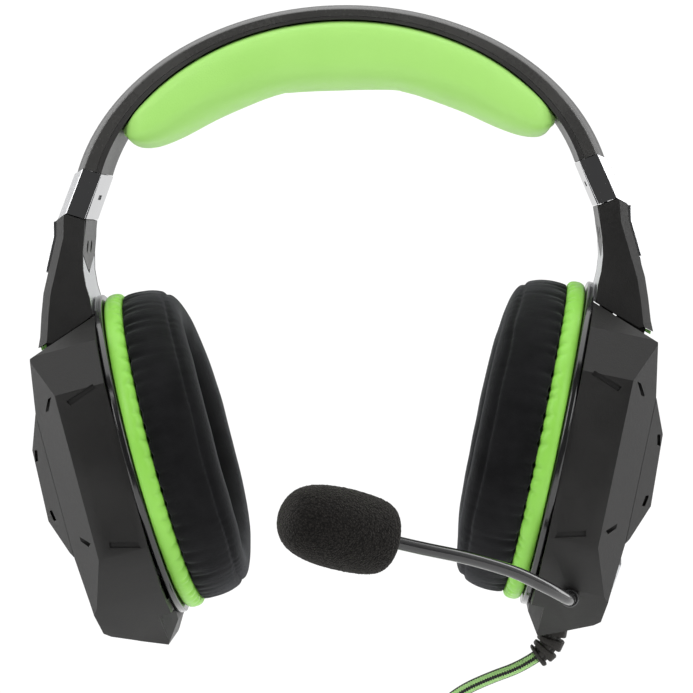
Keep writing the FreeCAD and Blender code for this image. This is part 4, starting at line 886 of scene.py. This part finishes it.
world = bpy.data.worlds.new("studio")
SCENE.world = world
world.use_nodes = True
wt = world.node_tree
bg = wt.nodes["Background"]
bg.inputs["Color"].default_value = (0.36, 0.36, 0.365, 1)
bg.inputs["Strength"].default_value = 1.0
# the room: dark behind the viewer, pale at the sides, above and beyond the object
toward = node(wt, "ShaderNodeSeparateXYZ")
wt.links.new(node(wt, "ShaderNodeTexCoord").outputs["Generated"], toward.inputs[0])
ramp = node(wt, "ShaderNodeMapRange")
ramp.interpolation_type = "SMOOTHSTEP"
ramp.inputs["From Min"].default_value, ramp.inputs["From Max"].default_value = -0.75, 0.05
ramp.inputs["To Min"].default_value, ramp.inputs["To Max"].default_value = 0.05, 0.72
wt.links.new(toward.outputs[1], ramp.inputs["Value"])
wt.links.new(ramp.outputs["Result"], bg.inputs["Color"])
white = node(wt, "ShaderNodeBackground")
white.inputs["Color"].default_value = (1, 1, 1, 1)
white.inputs["Strength"].default_value = 1.05
lp = node(wt, "ShaderNodeLightPath")
mixs = node(wt, "ShaderNodeMixShader")
wt.links.new(lp.outputs["Is Camera Ray"], mixs.inputs[0])
wt.links.new(bg.outputs[0], mixs.inputs[1])
wt.links.new(white.outputs[0], mixs.inputs[2])
wt.links.new(mixs.outputs[0], wt.nodes["World Output"].inputs["Surface"])


def area(name, at, to, size, power, size_y=None):
    ld = bpy.data.lights.new(name, "AREA")
    ld.shape = "RECTANGLE"
    ld.size, ld.size_y = size, size_y or size
    ld.energy = power
    ob = bpy.data.objects.new(name, ld)
    SCENE.collection.objects.link(ob)
    ob.location = at
    ob.rotation_mode = "QUATERNION"
    ob.rotation_quaternion = (Vector(to) - Vector(at)).to_track_quat("-Z", "Y")
    return ob


area("top", (0.0, -0.3, 1.5), (0, 0, -0.1), 1.8, 16.0)
area("front_left", (-1.1, -1.5, 0.7), (0, 0, -0.1), 1.0, 11.0)
area("front_right", (1.2, -1.4, 0.5), (0, 0, -0.1), 1.0, 9.0)
area("side_left", (-1.3, 0.5, 0.3), (0, 0, -0.08), 0.5, 7.0, 1.4)
area("side_right", (1.3, 0.5, 0.3), (0, 0, -0.08), 0.5, 7.0, 1.4)

SCENE.view_settings.view_transform = "Standard"
SCENE.view_settings.look = "None"
